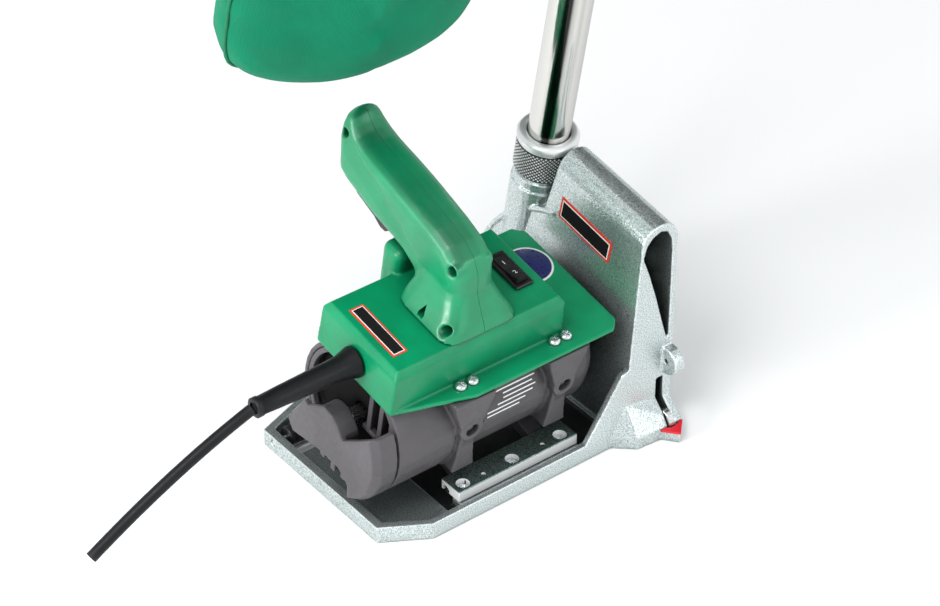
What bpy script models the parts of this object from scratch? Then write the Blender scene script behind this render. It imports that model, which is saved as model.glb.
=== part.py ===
"""Hand-guided electric seam cutter for floors, built as separate pieces.

Two sets of drawing coordinates are used, both in millimetres.
Base drawing (x, y, z): x from the left edge of the base, y from its front edge, z from the sole.
Unit drawing (x, v, w): the same origin turned by TILT about x. The motor unit is drawn in it.
The world origin lies on the sole, below the middle of the hinge bar.
"""
import math

import bmesh
import bpy
from mathutils import Vector

MM = 0.001
GAP = 0.3

# Driving dimensions
TILT = math.radians(10.4)
ORIGIN = (91.0, 8.0)
BASE_X, BASE_Y, RIM_H, FLOOR, SUMP = 193.4, 134.0, 10.6, 4.0, 1.2
LEFT_RIM, FRONT_RIM, REAR_RIM = 5.5, 4.3, 4.5
HOOD_WALL, HOOD_RIGHT, HOOD_ROUND = 3.0, 193.4, 11.6
CASE_CENTRE, CASE_R = (55.0, 30.0), 84.0
HINGE_Y, HINGE_Z, HINGE_R = 20.0, 8.5, 2.5
MOTOR_V, MOTOR_W, MOTOR_R = 64.0, 45.0, 43.5
BLADE_X, BLADE_R, BLADE_T = 184.8, 51.5, 2.4
GUIDE_Y, GUIDE_Z, GUIDE_R = -5.9, 7.4, 7.0
ROLLER_Y, ROLLER_Z, ROLLER_R = 113.0, 6.3, 5.9
BAR_LOW, BAR_HIGH = (50.0, 8.0, 7.3), (132.6, 24.3, 14.3)
BAR_SCREWS = ((56.5, 13.5), (90.6, 13.5), (124.3, 13.5))
BAR_DOWELS = ((70.1, 12.8), (111.4, 12.8))
COVER_TOP = 107.0
FLANGE_LOW, FLANGE_TOP = 77.5, 80.0
COVER_SCREWS = ((53.6, 26.4), (61.6, 26.4), (117.4, 26.4), (125.4, 26.4))
LUG_XS = (57.5, 121.0)
HANDLE_X, HANDLE_HALF, PART_LINE = 70.0, 14.0, 0.15
HORN_W, HORN_RISE, HORN_NARROWING = 158.0, 18.0, 0.36
TUBE_X, TUBE_V, TUBE_R = 179.5, 120.0, 12.0
NECK_W, NUT_LOW, NUT_HIGH, NUT_R = 98.0, 106.3, 132.5, 17.5
BEND_W, BEND_R, TUBE_END_W = 430.0, 75.0, 418.0
SWITCH_LOW, SWITCH_HIGH = (104.0, 48.0), (116.0, 76.0)
BOOT_V, BOOT_W = 63.7, 90.0
EAR_XS = (65.0, 117.0)
HANDLE_SCREWS = ((149.0, 163.6), (50.5, 143.0), (40.0, 112.4))
TRIGGER_PIVOT = (111.5, 130.6)
ACCESS_R, ACCESS_SCREW_R = 47.0, 43.0
BEARING_R, FAN_R = 9.4, 33.0
HANDLE_OUTLINE = (
    (43.8, 107.3), (43.6, 120.0), (42.2, 130.5), (43.4, 139.8), (48.4, 148.2), (57.6, 154.0), (70.0, 157.3),
    (96.0, 161.2), (112.0, 163.4), (124.0, 164.6), (132.0, 165.6), (138.5, 167.8), (143.0, 171.2),
    (146.6, 175.0), (150.6, 176.4), (154.0, 173.4), (155.6, 167.0), (155.8, 160.0), (154.6, 150.0),
    (153.0, 137.0), (144.0, 131.3), (119.0, 125.8), (102.0, 124.0), (91.0, 122.2), (83.0, 118.6),
    (77.8, 112.0), (76.5, 107.3))

YZ_PLANE = (math.pi / 2, 0, math.pi / 2)
XZ_PLANE = (math.pi / 2, 0, 0)
XY_PLANE = (0, 0, 0)
AXIS_TURN = {"X": (0, math.pi / 2, 0), "Y": (-math.pi / 2, 0, 0), "Z": (0, 0, 0)}


def clear_scene():
    for obj in list(bpy.data.objects):
        bpy.data.objects.remove(obj, do_unlink=True)


def new_collection(name):
    collection = bpy.data.collections.new(name)
    bpy.context.scene.collection.children.link(collection)
    return collection


def scaled(point):
    return tuple(value * MM for value in point)


def unit_to_base(v, w):
    """Unit drawing (v, w) as base drawing (y, z)."""
    return (v * math.cos(TILT) - w * math.sin(TILT), v * math.sin(TILT) + w * math.cos(TILT))


def base_to_unit(y, z):
    """Base drawing (y, z) as unit drawing (v, w)."""
    return (y * math.cos(TILT) + z * math.sin(TILT), z * math.cos(TILT) - y * math.sin(TILT))


def empty(name, place, parent=None, turn=(0, 0, 0)):
    obj = bpy.data.objects.new(name, None)
    PARTS.objects.link(obj)
    obj.parent = parent
    obj.location = scaled(place)
    obj.rotation_euler = turn
    return obj


def add(name, mesh, parent, place=(0, 0, 0), turn=(0, 0, 0)):
    obj = bpy.data.objects.new(name, mesh)
    PARTS.objects.link(obj)
    obj.parent = parent
    obj.location = scaled(place)
    obj.rotation_euler = turn
    return obj


def as_tool(obj):
    """A cutter or a joined shape: it leaves the parts' collection and isn't rendered."""
    PARTS.objects.unlink(obj)
    TOOLS.objects.link(obj)
    obj.hide_render = True
    obj.display_type = "WIRE"
    return obj


def boolean(target, tools, operation):
    for tool in tools:
        modifier = target.modifiers.new(operation.lower() + "_" + tool.name, "BOOLEAN")
        modifier.operation = operation
        modifier.solver = "EXACT"
        modifier.object = as_tool(tool)
    return target


def cut(target, *tools):
    return boolean(target, tools, "DIFFERENCE")


def join(target, *tools):
    return boolean(target, tools, "UNION")


def round_edges(obj, width, segments=2, angle=35):
    bevel = obj.modifiers.new("round_edges", "BEVEL")
    bevel.width = width * MM
    bevel.segments = segments
    bevel.limit_method = "ANGLE"
    bevel.angle_limit = math.radians(angle)
    return obj


def mesh_of(name, bm):
    mesh = bpy.data.meshes.new(name)
    bm.to_mesh(mesh)
    bm.free()
    return mesh


def box(name, low, high, parent, bevel=0.0, segments=2):
    bm = bmesh.new()
    bmesh.ops.create_cube(bm, size=1.0)
    size = [(b - a) * MM for a, b in zip(low, high)]
    bmesh.ops.scale(bm, vec=size, verts=bm.verts)
    centre = [(a + b) / 2 for a, b in zip(low, high)]
    obj = add(name, mesh_of(name, bm), parent, centre)
    return round_edges(obj, bevel, segments) if bevel else obj


def rod(name, place, axis, length, radius, parent, segments=24):
    """A cylinder that starts at place and runs along axis."""
    bm = bmesh.new()
    bmesh.ops.create_cone(bm, cap_ends=True, segments=segments, radius1=radius * MM,
                          radius2=radius * MM, depth=length * MM)
    bmesh.ops.translate(bm, vec=(0, 0, length * MM / 2), verts=bm.verts)
    return add(name, mesh_of(name, bm), parent, place, AXIS_TURN[axis])


def turned(name, profile, place, axis, parent, steps=32):
    """A turned piece: profile points are (radius, height), down the outside and back up inside."""
    bm = bmesh.new()
    verts = [bm.verts.new((r * MM, 0, h * MM)) for r, h in profile]
    closed = profile[0][0] > 0 or profile[-1][0] > 0
    pairs = list(zip(verts, verts[1:])) + ([(verts[-1], verts[0])] if closed else [])
    for a, b in pairs:
        bm.edges.new((a, b))
    obj = add(name, mesh_of(name, bm), parent, place, AXIS_TURN[axis])
    screw = obj.modifiers.new("turn", "SCREW")
    screw.steps = screw.render_steps = steps
    screw.use_merge_vertices = True
    screw.merge_threshold = 0.00001
    return obj


def ring(name, outer, inner, low, high, parent, steps=24, place=(0, 0, 0), axis="X"):
    """A plain ring with a bore, from low to high along its axis."""
    profile = [(outer, high), (outer, low), (inner, low), (inner, high)]
    return turned(name, profile, place, axis, parent, steps)


def curve_mesh(curve_object):
    """The curve as a welded mesh object in the same place."""
    depsgraph = bpy.context.evaluated_depsgraph_get()
    mesh = bpy.data.meshes.new_from_object(curve_object.evaluated_get(depsgraph))
    bm = bmesh.new()
    bm.from_mesh(mesh)
    bmesh.ops.remove_doubles(bm, verts=bm.verts, dist=0.00001)
    bmesh.ops.dissolve_limit(bm, angle_limit=0.005, verts=bm.verts, edges=bm.edges)
    bm.to_mesh(mesh)
    bm.free()
    name = curve_object.name
    obj = bpy.data.objects.new(name + "_mesh", mesh)
    PARTS.objects.link(obj)
    obj.parent = curve_object.parent
    obj.matrix_local = curve_object.matrix_local
    bpy.data.objects.remove(curve_object, do_unlink=True)
    obj.name = name
    return obj


def plate(name, outline, low, high, plane, parent):
    """A flat outline, closed, extruded from low to high across its plane."""
    curve = bpy.data.curves.new(name, "CURVE")
    curve.dimensions = "2D"
    curve.fill_mode = "BOTH"
    curve.extrude = (high - low) / 2 * MM
    spline = curve.splines.new("POLY")
    spline.points.add(len(outline) - 1)
    for point, (a, b) in zip(spline.points, outline):
        point.co = (a * MM, b * MM, 0, 1)
    spline.use_cyclic_u = True
    middle = (low + high) / 2
    place = {YZ_PLANE: (middle, 0, 0), XZ_PLANE: (0, middle, 0), XY_PLANE: (0, 0, middle)}[plane]
    obj = bpy.data.objects.new(name, curve)
    PARTS.objects.link(obj)
    obj.parent = parent
    obj.location = scaled(place)
    obj.rotation_euler = plane
    return curve_mesh(obj)


def wire(name, points, radius, parent, sides=3):
    """A round bar or tube along points, as a welded mesh."""
    curve = bpy.data.curves.new(name, "CURVE")
    curve.dimensions = "3D"
    curve.bevel_depth = radius * MM
    curve.bevel_resolution = sides
    curve.use_fill_caps = True
    spline = curve.splines.new("POLY")
    spline.points.add(len(points) - 1)
    for point, place in zip(spline.points, points):
        point.co = (*scaled(place), 1)
    obj = bpy.data.objects.new(name, curve)
    PARTS.objects.link(obj)
    obj.parent = parent
    return curve_mesh(obj)


def loft(name, rings, parent):
    """A solid through rings of equal length, capped at both ends."""
    bm = bmesh.new()
    rows = [[bm.verts.new(scaled(point)) for point in ring] for ring in rings]
    count = len(rings[0])
    for low, high in zip(rows, rows[1:]):
        for i in range(count):
            j = (i + 1) % count
            bm.faces.new((low[i], low[j], high[j], high[i]))
    bm.faces.new(rows[0][::-1])
    bm.faces.new(rows[-1])
    bmesh.ops.recalc_face_normals(bm, faces=bm.faces)
    return add(name, mesh_of(name, bm), parent)


def hull(name, points, parent):
    """The convex solid around points."""
    bm = bmesh.new()
    for point in points:
        bm.verts.new(scaled(point))
    result = bmesh.ops.convex_hull(bm, input=bm.verts)
    spare = [item for item in result["geom_interior"] if isinstance(item, bmesh.types.BMVert)]
    bmesh.ops.delete(bm, geom=spare, context="VERTS")
    bmesh.ops.recalc_face_normals(bm, faces=bm.faces)
    return add(name, mesh_of(name, bm), parent)


def arc(centre, radius, start, end, steps):
    """Points on an arc, angles in degrees."""
    angles = [math.radians(start + (end - start) * i / steps) for i in range(steps + 1)]
    return [(centre[0] + radius * math.cos(a), centre[1] + radius * math.sin(a)) for a in angles]


def finish(obj, name, colour, roughness, metallic=0.0):
    """Colour is given as a display value from 0 to 1."""
    material = bpy.data.materials.get(name)
    if material is None:
        material = bpy.data.materials.new(name)
        material.use_nodes = True
        shader = material.node_tree.nodes["Principled BSDF"]
        linear = [channel ** 2.2 for channel in colour]
        shader.inputs["Base Color"].default_value = (*linear, 1)
        shader.inputs["Roughness"].default_value = roughness
        shader.inputs["Metallic"].default_value = metallic
    obj.data.materials.clear()
    obj.data.materials.append(material)
    if isinstance(obj.data, bpy.types.Mesh):
        obj.data.shade_smooth()
        obj.data.set_sharp_from_angle(angle=math.radians(35))
    return obj


def cast(obj):
    return finish(obj, "hammertone_casting", (0.72, 0.75, 0.75), 0.45, 0.6)


def steel(obj):
    return finish(obj, "bright_steel", (0.78, 0.78, 0.77), 0.3, 1.0)


def dark_steel(obj):
    return finish(obj, "dark_steel", (0.3, 0.3, 0.31), 0.4, 1.0)


def green(obj):
    return finish(obj, "green_plastic", (0.0, 0.6, 0.37), 0.4)


def grey(obj):
    return finish(obj, "grey_plastic", (0.45, 0.43, 0.45), 0.55)


def black(obj):
    return finish(obj, "black_plastic", (0.05, 0.05, 0.05), 0.5)


def rubber(obj):
    return finish(obj, "black_rubber", (0.07, 0.07, 0.07), 0.7)


# ---------------------------------------------------------------- base

def hood_left(z):
    """x of the hood's left wall, which leans to the right as it rises."""
    return 161.9 + (z - 47.0) * 0.0775


def hood_ridge(inset):
    """Stations along the hood, moved inwards by inset: (y, height of the top, radius of its round)."""
    end = BASE_Y - inset
    stations = [(inset, 138.8 - inset), (73.5 - inset, 150.2 - inset), (83.2 - inset, 114.0)]
    stations += arc(CASE_CENTRE, CASE_R - inset, 67, 21, 7) + [(end, CASE_CENTRE[1] + 28.0)]
    return [(y, z, HOOD_ROUND - inset if i < 3 else 3.2) for i, (y, z) in enumerate(stations)]


def hood_solid(name, inset, parent):
    """The hood's body: an arch over its two walls, drawn through stations along y."""
    right = HOOD_RIGHT - inset
    bottom = FLOOR + 0.6 if inset else 0.0
    rings = []
    for y, top, radius in hood_ridge(inset):
        left = hood_left(top - radius) + inset
        ring = [(hood_left(bottom) + inset, y, bottom)]
        ring += [(x, y, z) for x, z in arc((left + radius, top - radius), radius, 180, 90, 5)]
        ring += [(x, y, z) for x, z in arc((right - radius, top - radius), radius, 90, 0, 5)]
        rings.append(ring + [(right, y, bottom)])
    return loft(name, rings, parent)


def nose_solid(parent):
    """The wedge in front of the hood, with its narrow tip."""
    foot = [(150.7, 0), (161.1, -10.2), (176.9, -11.4), (193.0, -11.2), (193.0, 1.0), (150.7, 1.0)]
    shoulder = [(161.1, -10.2), (176.9, -11.4), (193.0, -11.2)]
    crest = [(160.4, 25.0), (181.0, 19.6), (193.0, 19.0)]
    points = [(x, y, 0) for x, y in foot] + [(x, y, 7.4) for x, y in shoulder + foot[:1]]
    points += [(x, 0, z) for x, z in crest] + [(x, 1.0, z) for x, z in crest]
    nose = hull("nose", points, parent)
    tip = plate("nose_tip", [(177.0, -11.0), (184.0, -20.3), (192.8, -11.0)], 0, 5.8, XY_PLANE, parent)
    return nose, tip


def base_casting(datum, unit_frame):
    outline = [(0, 15.6), (25.7, 0), (BASE_X, 0), (BASE_X, BASE_Y), (34, BASE_Y), (0, 122)]
    base = plate("base_casting", outline, 0, RIM_H, XY_PLANE, datum)
    inner = [(LEFT_RIM, 18.2), (27.2, FRONT_RIM), (160, FRONT_RIM), (160, BASE_Y - REAR_RIM),
             (35, BASE_Y - REAR_RIM), (LEFT_RIM, 118.5)]
    cut(base, plate("recess", inner, FLOOR, RIM_H + 1, XY_PLANE, datum),
        box("motor_sump", (44, 6.5, SUMP), (157, 90, FLOOR + 1), datum))
    join(base, box("bar_seat", (BAR_LOW[0], 3.0, 0), (BAR_HIGH[0], 14.8, BAR_LOW[2] - GAP), datum))
    bosses = [("boss_a", 25.0, 31.0), ("boss_b", 126.0, 132.0), ("boss_c", 152.0, 161.0)]
    for name, x0, x1 in bosses:
        join(base, box(name, (x0, ROLLER_Y - 5.5, 0), (x1, ROLLER_Y + 5.5, RIM_H), datum))
    join(base, box("pin_boss", (24.5, 99.0, 0), (29.5, 108.0, 9.0), datum))
    join(base, box("knob_boss", (90.0, 94.0, 0), (110.0, 114.0, FLOOR), datum))
    gusset = [(128, 0), (132.8, RIM_H), (156.9, 46.8), (159.0, 48.2), (166, 48.2), (166, 0)]
    join(base, plate("gusset", gusset, 0, FRONT_RIM, XZ_PLANE, datum), hood_solid("hood", 0.0, datum))
    join(base, rod("duct_boss", (TUBE_X, TUBE_V, 50), "Z", NECK_W - 50, 17.3, unit_frame, segments=24),
         rod("duct_shoulder", (TUBE_X, TUBE_V, NECK_W - 1), "Z", 7.0, 16.2, unit_frame, segments=24),
         rod("duct_neck", (TUBE_X, TUBE_V, NECK_W - 1), "Z", 26.4, 14.5, unit_frame, segments=24))
    join(base, *nose_solid(datum))
    lug = [(2.0, 54.5), (-3.0, 54.5)] + arc((-3.0, 46.0), 8.5, 90, 270, 10) + [(2.0, 37.5)]
    join(base, plate("front_lug", lug, 186.0, HOOD_RIGHT - 0.4, YZ_PLANE, datum))
    cut(base, hood_solid("hood_cavity", HOOD_WALL, datum))
    window = [(169.6, 121.0), (171.5, 128.0), (175.5, 132.6), (181.0, 134.6), (186.0, 132.8),
              (189.2, 127.0), (190.0, 120.0), (190.0, 56.0), (188.0, 62.0), (184.5, 74.0),
              (179.5, 92.0), (174.5, 108.0)]
    cut(base, plate("front_window", window, -2.0, 5.0, XZ_PLANE, datum))
    cut(base, box("wall_slot", (182.3, -13.3, -1), (187.3, 5.0, 34.0), datum),
        box("sole_slot", (181.4, 2.0, -1), (188.2, 108.0, 6.0), datum),
        rod("access_hole", (188.0, MOTOR_Y, ACCESS_Z), "X", 8.0, 39.0, datum, segments=28),
        rod("duct_bore", (TUBE_X, TUBE_V, 66.0), "Z", 60.0, TUBE_R + 0.5, unit_frame, segments=24),
        rod("lug_hole", (180.0, -3.0, 46.0), "X", 20.0, 1.6, datum, segments=10))
    slot = capsule(unit_to_base(MOTOR_V, MOTOR_W), (63.6, 47.8), 8.5)
    cut(base, plate("shaft_slot", slot, 156.0, 170.0, YZ_PLANE, datum))
    cut(base, box("left_pocket", (8.5, 99.0, -1), (23.5, 121.0, FLOOR + 1), datum),
        box("right_pocket", (134.5, 99.0, -1), (149.5, 121.0, FLOOR + 1), datum))
    cut(base, rod("left_axle_hole", (-1, ROLLER_Y, ROLLER_Z), "X", 33.0, 1.8, datum, segments=12),
        rod("right_axle_hole", (125, ROLLER_Y, ROLLER_Z), "X", 35.0, 1.8, datum, segments=12),
        rod("pin_hole", (2.5, 103.5, 6.0), "X", 28.0, 1.9, datum, segments=12),
        rod("guide_pin_hole", (162.6, GUIDE_Y, GUIDE_Z), "X", 36.0, 1.8, datum, segments=12),
        rod("knob_hole", (100.0, 104.0, -1), "Z", 6.0, 3.0, datum, segments=12))
    for i, (x, y) in enumerate(BAR_SCREWS):
        cut(base, rod(f"seat_hole_{i}", (x, y, 1.0), "Z", 8.0, 2.2, datum, segments=10))
    for i, (x, y) in enumerate(BAR_DOWELS):
        cut(base, rod(f"dowel_hole_{i}", (x, y, 3.6), "Z", 5.0, 1.3, datum, segments=12))
    for i, (y, z) in enumerate(ACCESS_SCREWS):
        cut(base, rod(f"access_screw_hole_{i}", (189.0, y, z), "X", 6.0, 2.0, datum, segments=12))
    return cast(base)


def capsule(first, second, radius):
    """Outline of a slot whose round ends are centred on first and second."""
    angle = math.degrees(math.atan2(second[1] - first[1], second[0] - first[0]))
    return arc(first, radius, angle + 90, angle + 270, 8) + arc(second, radius, angle - 90, angle + 90, 8)


def access_cover(datum):
    profile = [(0.0, 3.0), (ACCESS_R, 3.0), (ACCESS_R, 0.0), (0.0, 0.0)]
    place = (HOOD_RIGHT + GAP, MOTOR_Y, ACCESS_Z)
    cover = turned("blade_access_cover", profile, place, "X", datum, 28)
    for i, (y, z) in enumerate(ACCESS_SCREWS):
        cut(cover, rod(f"cover_hole_{i}", (HOOD_RIGHT - 1, y, z), "X", 6.0, 2.1, datum, segments=12))
    dark_steel(cover)
    for i, (y, z) in enumerate(ACCESS_SCREWS):
        low = HOOD_RIGHT - 3.6
        head = HOOD_RIGHT + 3.0 + 2 * GAP
        profile = [(0, head + 2.2), (2.6, head + 2.2), (3.6, head + 1.2), (3.6, head), (1.7, head),
                   (1.7, low), (0, low)]
        steel(turned(f"access_screw_{i + 1}", profile, (0, y, z), "X", datum, 10))


def hinge_bar(datum):
    bar = box("hinge_bar", BAR_LOW, BAR_HIGH, datum, bevel=0.5, segments=1)
    cut(bar, rod("shaft_groove", (40, HINGE_Y, HINGE_Z), "X", 110, HINGE_R + GAP, datum, segments=16),
        box("shaft_gap", (40, HINGE_Y - 2.0, 0), (150, HINGE_Y + 2.0, HINGE_Z), datum))
    for i, x in enumerate(EAR_XS):
        cut(bar, box(f"ear_notch_{i}", (x - 5.4, 15.3, 5), (x + 5.4, 26, 13.2), datum))
    for i, (x, y) in enumerate(BAR_SCREWS):
        cut(bar, rod(f"bar_hole_{i}", (x, y, 5), "Z", 12, 2.2, datum, segments=10),
            rod(f"bar_counterbore_{i}", (x, y, 10.2), "Z", 6, 4.0, datum, segments=14))
    for i, (x, y) in enumerate(BAR_DOWELS):
        cut(bar, rod(f"bar_dowel_hole_{i}", (x, y, 5), "Z", 12, 1.3, datum, segments=12))
    cast(bar)
    for i, (x, y) in enumerate(BAR_SCREWS):
        profile = [(0, 11.2), (1.7, 11.2), (1.7, 12.4), (3.6, 12.4), (3.6, 10.5), (1.8, 10.5),
                   (1.8, 1.3), (0, 1.3)]
        steel(turned(f"hinge_bar_screw_{i + 1}", profile, (x, y, 0), "Z", datum, 12))
    for i, (x, y) in enumerate(BAR_DOWELS):
        steel(rod(f"dowel_pin_{i + 1}", (x, y, 3.9), "Z", 9.8, 1.0, datum, segments=12))
    inset = 0.8
    length = BAR_HIGH[0] - BAR_LOW[0] - 2 * inset
    steel(rod("hinge_shaft", (BAR_LOW[0] + inset, HINGE_Y, HINGE_Z), "X", length, HINGE_R, datum))


def roller(name, x, place, radius, width, bore, parent, steps=20):
    """A wheel on the x axis with a bore; its parent empty is on the axle's line."""
    axle_point = empty(name + "_axis", (x, *place), parent)
    edge = 0.5
    profile = [(radius - edge, width / 2), (radius, width / 2 - edge), (radius, edge - width / 2),
               (radius - edge, -width / 2), (bore, -width / 2), (bore, width / 2)]
    return turned(name, profile, (0, 0, 0), "X", axle_point, steps)


def rolling_parts(datum):
    rubber(roller("rear_roller_left", 16.0, (ROLLER_Y, ROLLER_Z), ROLLER_R, 13.6, 1.85, datum))
    rubber(roller("rear_roller_right", 142.0, (ROLLER_Y, ROLLER_Z), ROLLER_R, 13.6, 1.85, datum))
    steel(roller("guide_roller", BLADE_X, (GUIDE_Y, GUIDE_Z), GUIDE_R, 4.0, 1.85, datum))
    steel(rod("rear_axle_left", (0.6, ROLLER_Y, ROLLER_Z), "X", 30.0, 1.5, datum, segments=16))
    steel(rod("rear_axle_right", (126.3, ROLLER_Y, ROLLER_Z), "X", 33.0, 1.5, datum, segments=16))
    steel(rod("guide_pin", (163.0, GUIDE_Y, GUIDE_Z), "X", 28.6, 1.5, datum, segments=16))
    steel(rod("cross_pin", (3.0, 103.5, 6.0), "X", 26.2, 1.6, datum, segments=16))


def pointer_plate(datum):
    low = 6.1
    outline = [(176.8, -11.9), (184.0, -20.6), (192.9, -11.7), (190.0, -11.7), (187.0, -13.6), (182.6, -13.6),
               (180.5, -11.9)]
    red = plate("pointer_plate", outline, low, low + 1.4, XY_PLANE, datum)
    finish(red, "red_plastic", (0.85, 0.08, 0.12), 0.4)


def depth_knob(datum):
    profile = [(0, 8.2), (8.2, 8.2), (9.0, 7.4), (9.0, 1.0), (8.2, 0.2), (2.6, 0.2), (2.6, -3.2), (0, -3.2)]
    point = empty("depth_knob_axis", (100.0, 104.0, FLOOR + 0.2), datum)
    dark_steel(turned("depth_knob", profile, (0, 0, 0), "Z", point, 20))


# ---------------------------------------------------------------- dust duct

def tube_path():
    """Up from the hood, over a half circle towards the left and a little way down."""
    turn = [(TUBE_X - BEND_R + BEND_R * math.cos(a), TUBE_V, BEND_W + BEND_R * math.sin(a))
            for a in (math.pi * i / 10 for i in range(11))]
    return [(TUBE_X, TUBE_V, NECK_W + 6)] + turn + [(TUBE_X - 2 * BEND_R, TUBE_V, TUBE_END_W)]


def dust_duct(unit_frame, tube_frame):
    nut_point = empty("clamp_nut_axis", (TUBE_X, TUBE_V, NUT_LOW), unit_frame)
    height = NUT_HIGH - NUT_LOW
    profile = [(16.4, height), (NUT_R, height - 2.2), (NUT_R, 1.2), (16.4, 0), (14.9, 0),
               (14.9, height - 2.6), (TUBE_R + 0.4, height - 2.6), (TUBE_R + 0.4, height)]
    steel(turned("clamp_nut", profile, (0, 0, 0), "Z", nut_point, 24))
    black(ring("collet_ring", 14.5, 12.4, 123.9, 129.4, unit_frame, place=(TUBE_X, TUBE_V, 0), axis="Z"))
    points = [(x - TUBE_X, v - TUBE_V, w - NUT_LOW) for x, v, w in tube_path()]
    tube = wire("dust_tube", points, TUBE_R, tube_frame, sides=3)
    first, last = points[0], points[-1]
    inner = [(first[0], first[1], first[2] - 5)] + points[1:-1] + [(last[0], last[1], last[2] - 5)]
    cut(tube, wire("tube_bore", inner, TUBE_R - 1.5, tube_frame, sides=3))
    finish(tube, "chrome_tube", (0.85, 0.84, 0.8), 0.12, 1.0)
    bag_parts(tube_frame)


def bag_rings():
    """Rings of the bag's outer skin from the neck down: centre, half sizes and height."""
    neck_x, neck_v, neck_w = -2 * BEND_R, 0.0, TUBE_END_W - NUT_LOW
    rows = [(0, 0, 14.2, 14.2, 12), (0, 0, 14.2, 14.2, -4), (1, 3, 34, 26, -20), (4, 8, 58, 36, -46),
            (10, 15, 73, 44, -90), (15, 21, 78, 48, -132), (17, 26, 73, 46, -166), (14, 29, 54, 34, -187)]
    turns = [(math.cos(math.tau * i / 16), math.sin(math.tau * i / 16)) for i in range(16)]
    return [[(neck_x + dx + half_x * across, neck_v + dv + half_v * along, neck_w + dw)
             for across, along in turns]
            for dx, dv, half_x, half_v, dw in rows]


def bag_parts(tube_frame):
    rings = bag_rings()
    bm = bmesh.new()
    rows = [[bm.verts.new(scaled(point)) for point in ring] for ring in rings]
    count = len(rings[0])
    for high, low in zip(rows, rows[1:]):
        for i in range(count):
            j = (i + 1) % count
            bm.faces.new((low[i], low[j], high[j], high[i]))
    bm.faces.new(rows[-1][::-1])
    bag = add("dust_bag", mesh_of("dust_bag", bm), tube_frame)
    shell = bag.modifiers.new("shell", "SOLIDIFY")
    shell.thickness = 1.6 * MM
    shell.offset = -1.0
    finish(bag, "green_fabric", (0.03, 0.58, 0.4), 0.9)
    top = TUBE_END_W - NUT_LOW
    steel(ring("bag_clamp", 16.4, 14.6, top + 1, top + 8, tube_frame, place=(-2 * BEND_R, 0, 0), axis="Z"))


# ---------------------------------------------------------------- motor

def lug_shape(x, unit):
    """Screw lug on the front of the housing, with its block below the cover's flange."""
    fin = [(23.0, FLANGE_LOW - 1), (34.0, FLANGE_LOW - 1), (34.0, 72.0), (29.5, 66.0), (25.0, 57.0),
           (24.0, 50.0), (24.0, 40.0), (26.5, 30.0), (23.0, 30.0), (16.5, 46.0), (16.5, 61.0)]
    return (plate("fin", fin, x - 3.2, x + 3.2, YZ_PLANE, unit),
            box("fin_top", (x - 8.4, 22.5, 70.0), (x + 8.4, 34.0, FLANGE_LOW - GAP), unit),
            rod("fin_boss", (x, 15.8, 53.5), "Y", 8.6, 6.8, unit, segments=20))


def motor_housing(unit):
    body_r = MOTOR_R - 2.0
    profile = [(9.5, 152.0), (30.0, 151.5), (38.0, 148.0), (body_r, 142.0), (body_r, 53.0),
               (MOTOR_R, 50.0), (MOTOR_R, 13.0), (40.8, 13.0), (38.6, 50.0), (38.6, 118.0), (29.0, 120.0),
               (29.0, 143.0), (16.0, 143.0), (16.0, 135.0), (13.0, 135.0), (13.0, 143.4), (9.5, 143.4)]
    housing = turned("motor_housing", profile, (0, MOTOR_V, MOTOR_W), "X", unit, 32)
    for x in LUG_XS:
        join(housing, *lug_shape(x, unit))
    ear = [(HINGE_V, HINGE_W - 4.2), (43.0, 1.2), (48.0, 3.6), (49.5, 6.0), (48.5, 8.2), (40.0, 10.2),
           (33.0, 8.2), (27.0, 7.9), (HINGE_V, HINGE_W + 4.2)] + arc((HINGE_V, HINGE_W), 4.3, 100, 260, 8)
    for x in EAR_XS:
        join(housing, plate("ear", ear, x - 5.0, x + 5.0, YZ_PLANE, unit))
    lug = [(88.0, 11.0), (114.0, 11.0), (114.0, 16.0), (94.5, 16.0)]
    join(housing, plate("spring_lug", lug, 30.5, 44.5, YZ_PLANE, unit))
    stop = [(86.0, 11.0), (114.0, 11.0), (114.0, 16.0), (92.5, 16.0)]
    join(housing, plate("stop_lug", stop, 93.0, 107.0, YZ_PLANE, unit))
    cut(housing, box("flat_top", (122.6, 20.0, FLANGE_LOW - GAP), (160.0, 110.0, 95.0), unit))
    cut(housing, rod("ear_bore", (50.0, HINGE_V, HINGE_W), "X", 82.0, HINGE_R + 0.35, unit))
    for i, x in enumerate(LUG_XS):
        cut(housing, rod(f"lug_counterbore_{i}", (x, 15.0, 53.5), "Y", 6.3, 4.0, unit, segments=16),
            rod(f"lug_hole_{i}", (x, 15.0, 53.5), "Y", 12.0, 2.1, unit, segments=12))
    for i, (x, v) in enumerate(COVER_SCREWS):
        cut(housing, rod(f"block_hole_{i}", (x, v, 71.5), "Z", 8.0, 2.1, unit, segments=12))
    grey(housing)
    for i, x in enumerate(LUG_XS):
        profile = [(0, 4.2), (1.6, 4.2), (1.6, 7.0), (3.4, 7.0), (3.4, 3.2), (1.8, 3.2), (1.8, 0.0), (0, 0.0)]
        screw = turned(f"housing_screw_{i + 1}", profile, (x, 24.0, 53.5), "Y", unit, 10)
        screw.rotation_euler = (math.pi / 2, 0, 0)
        steel(screw)


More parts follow.
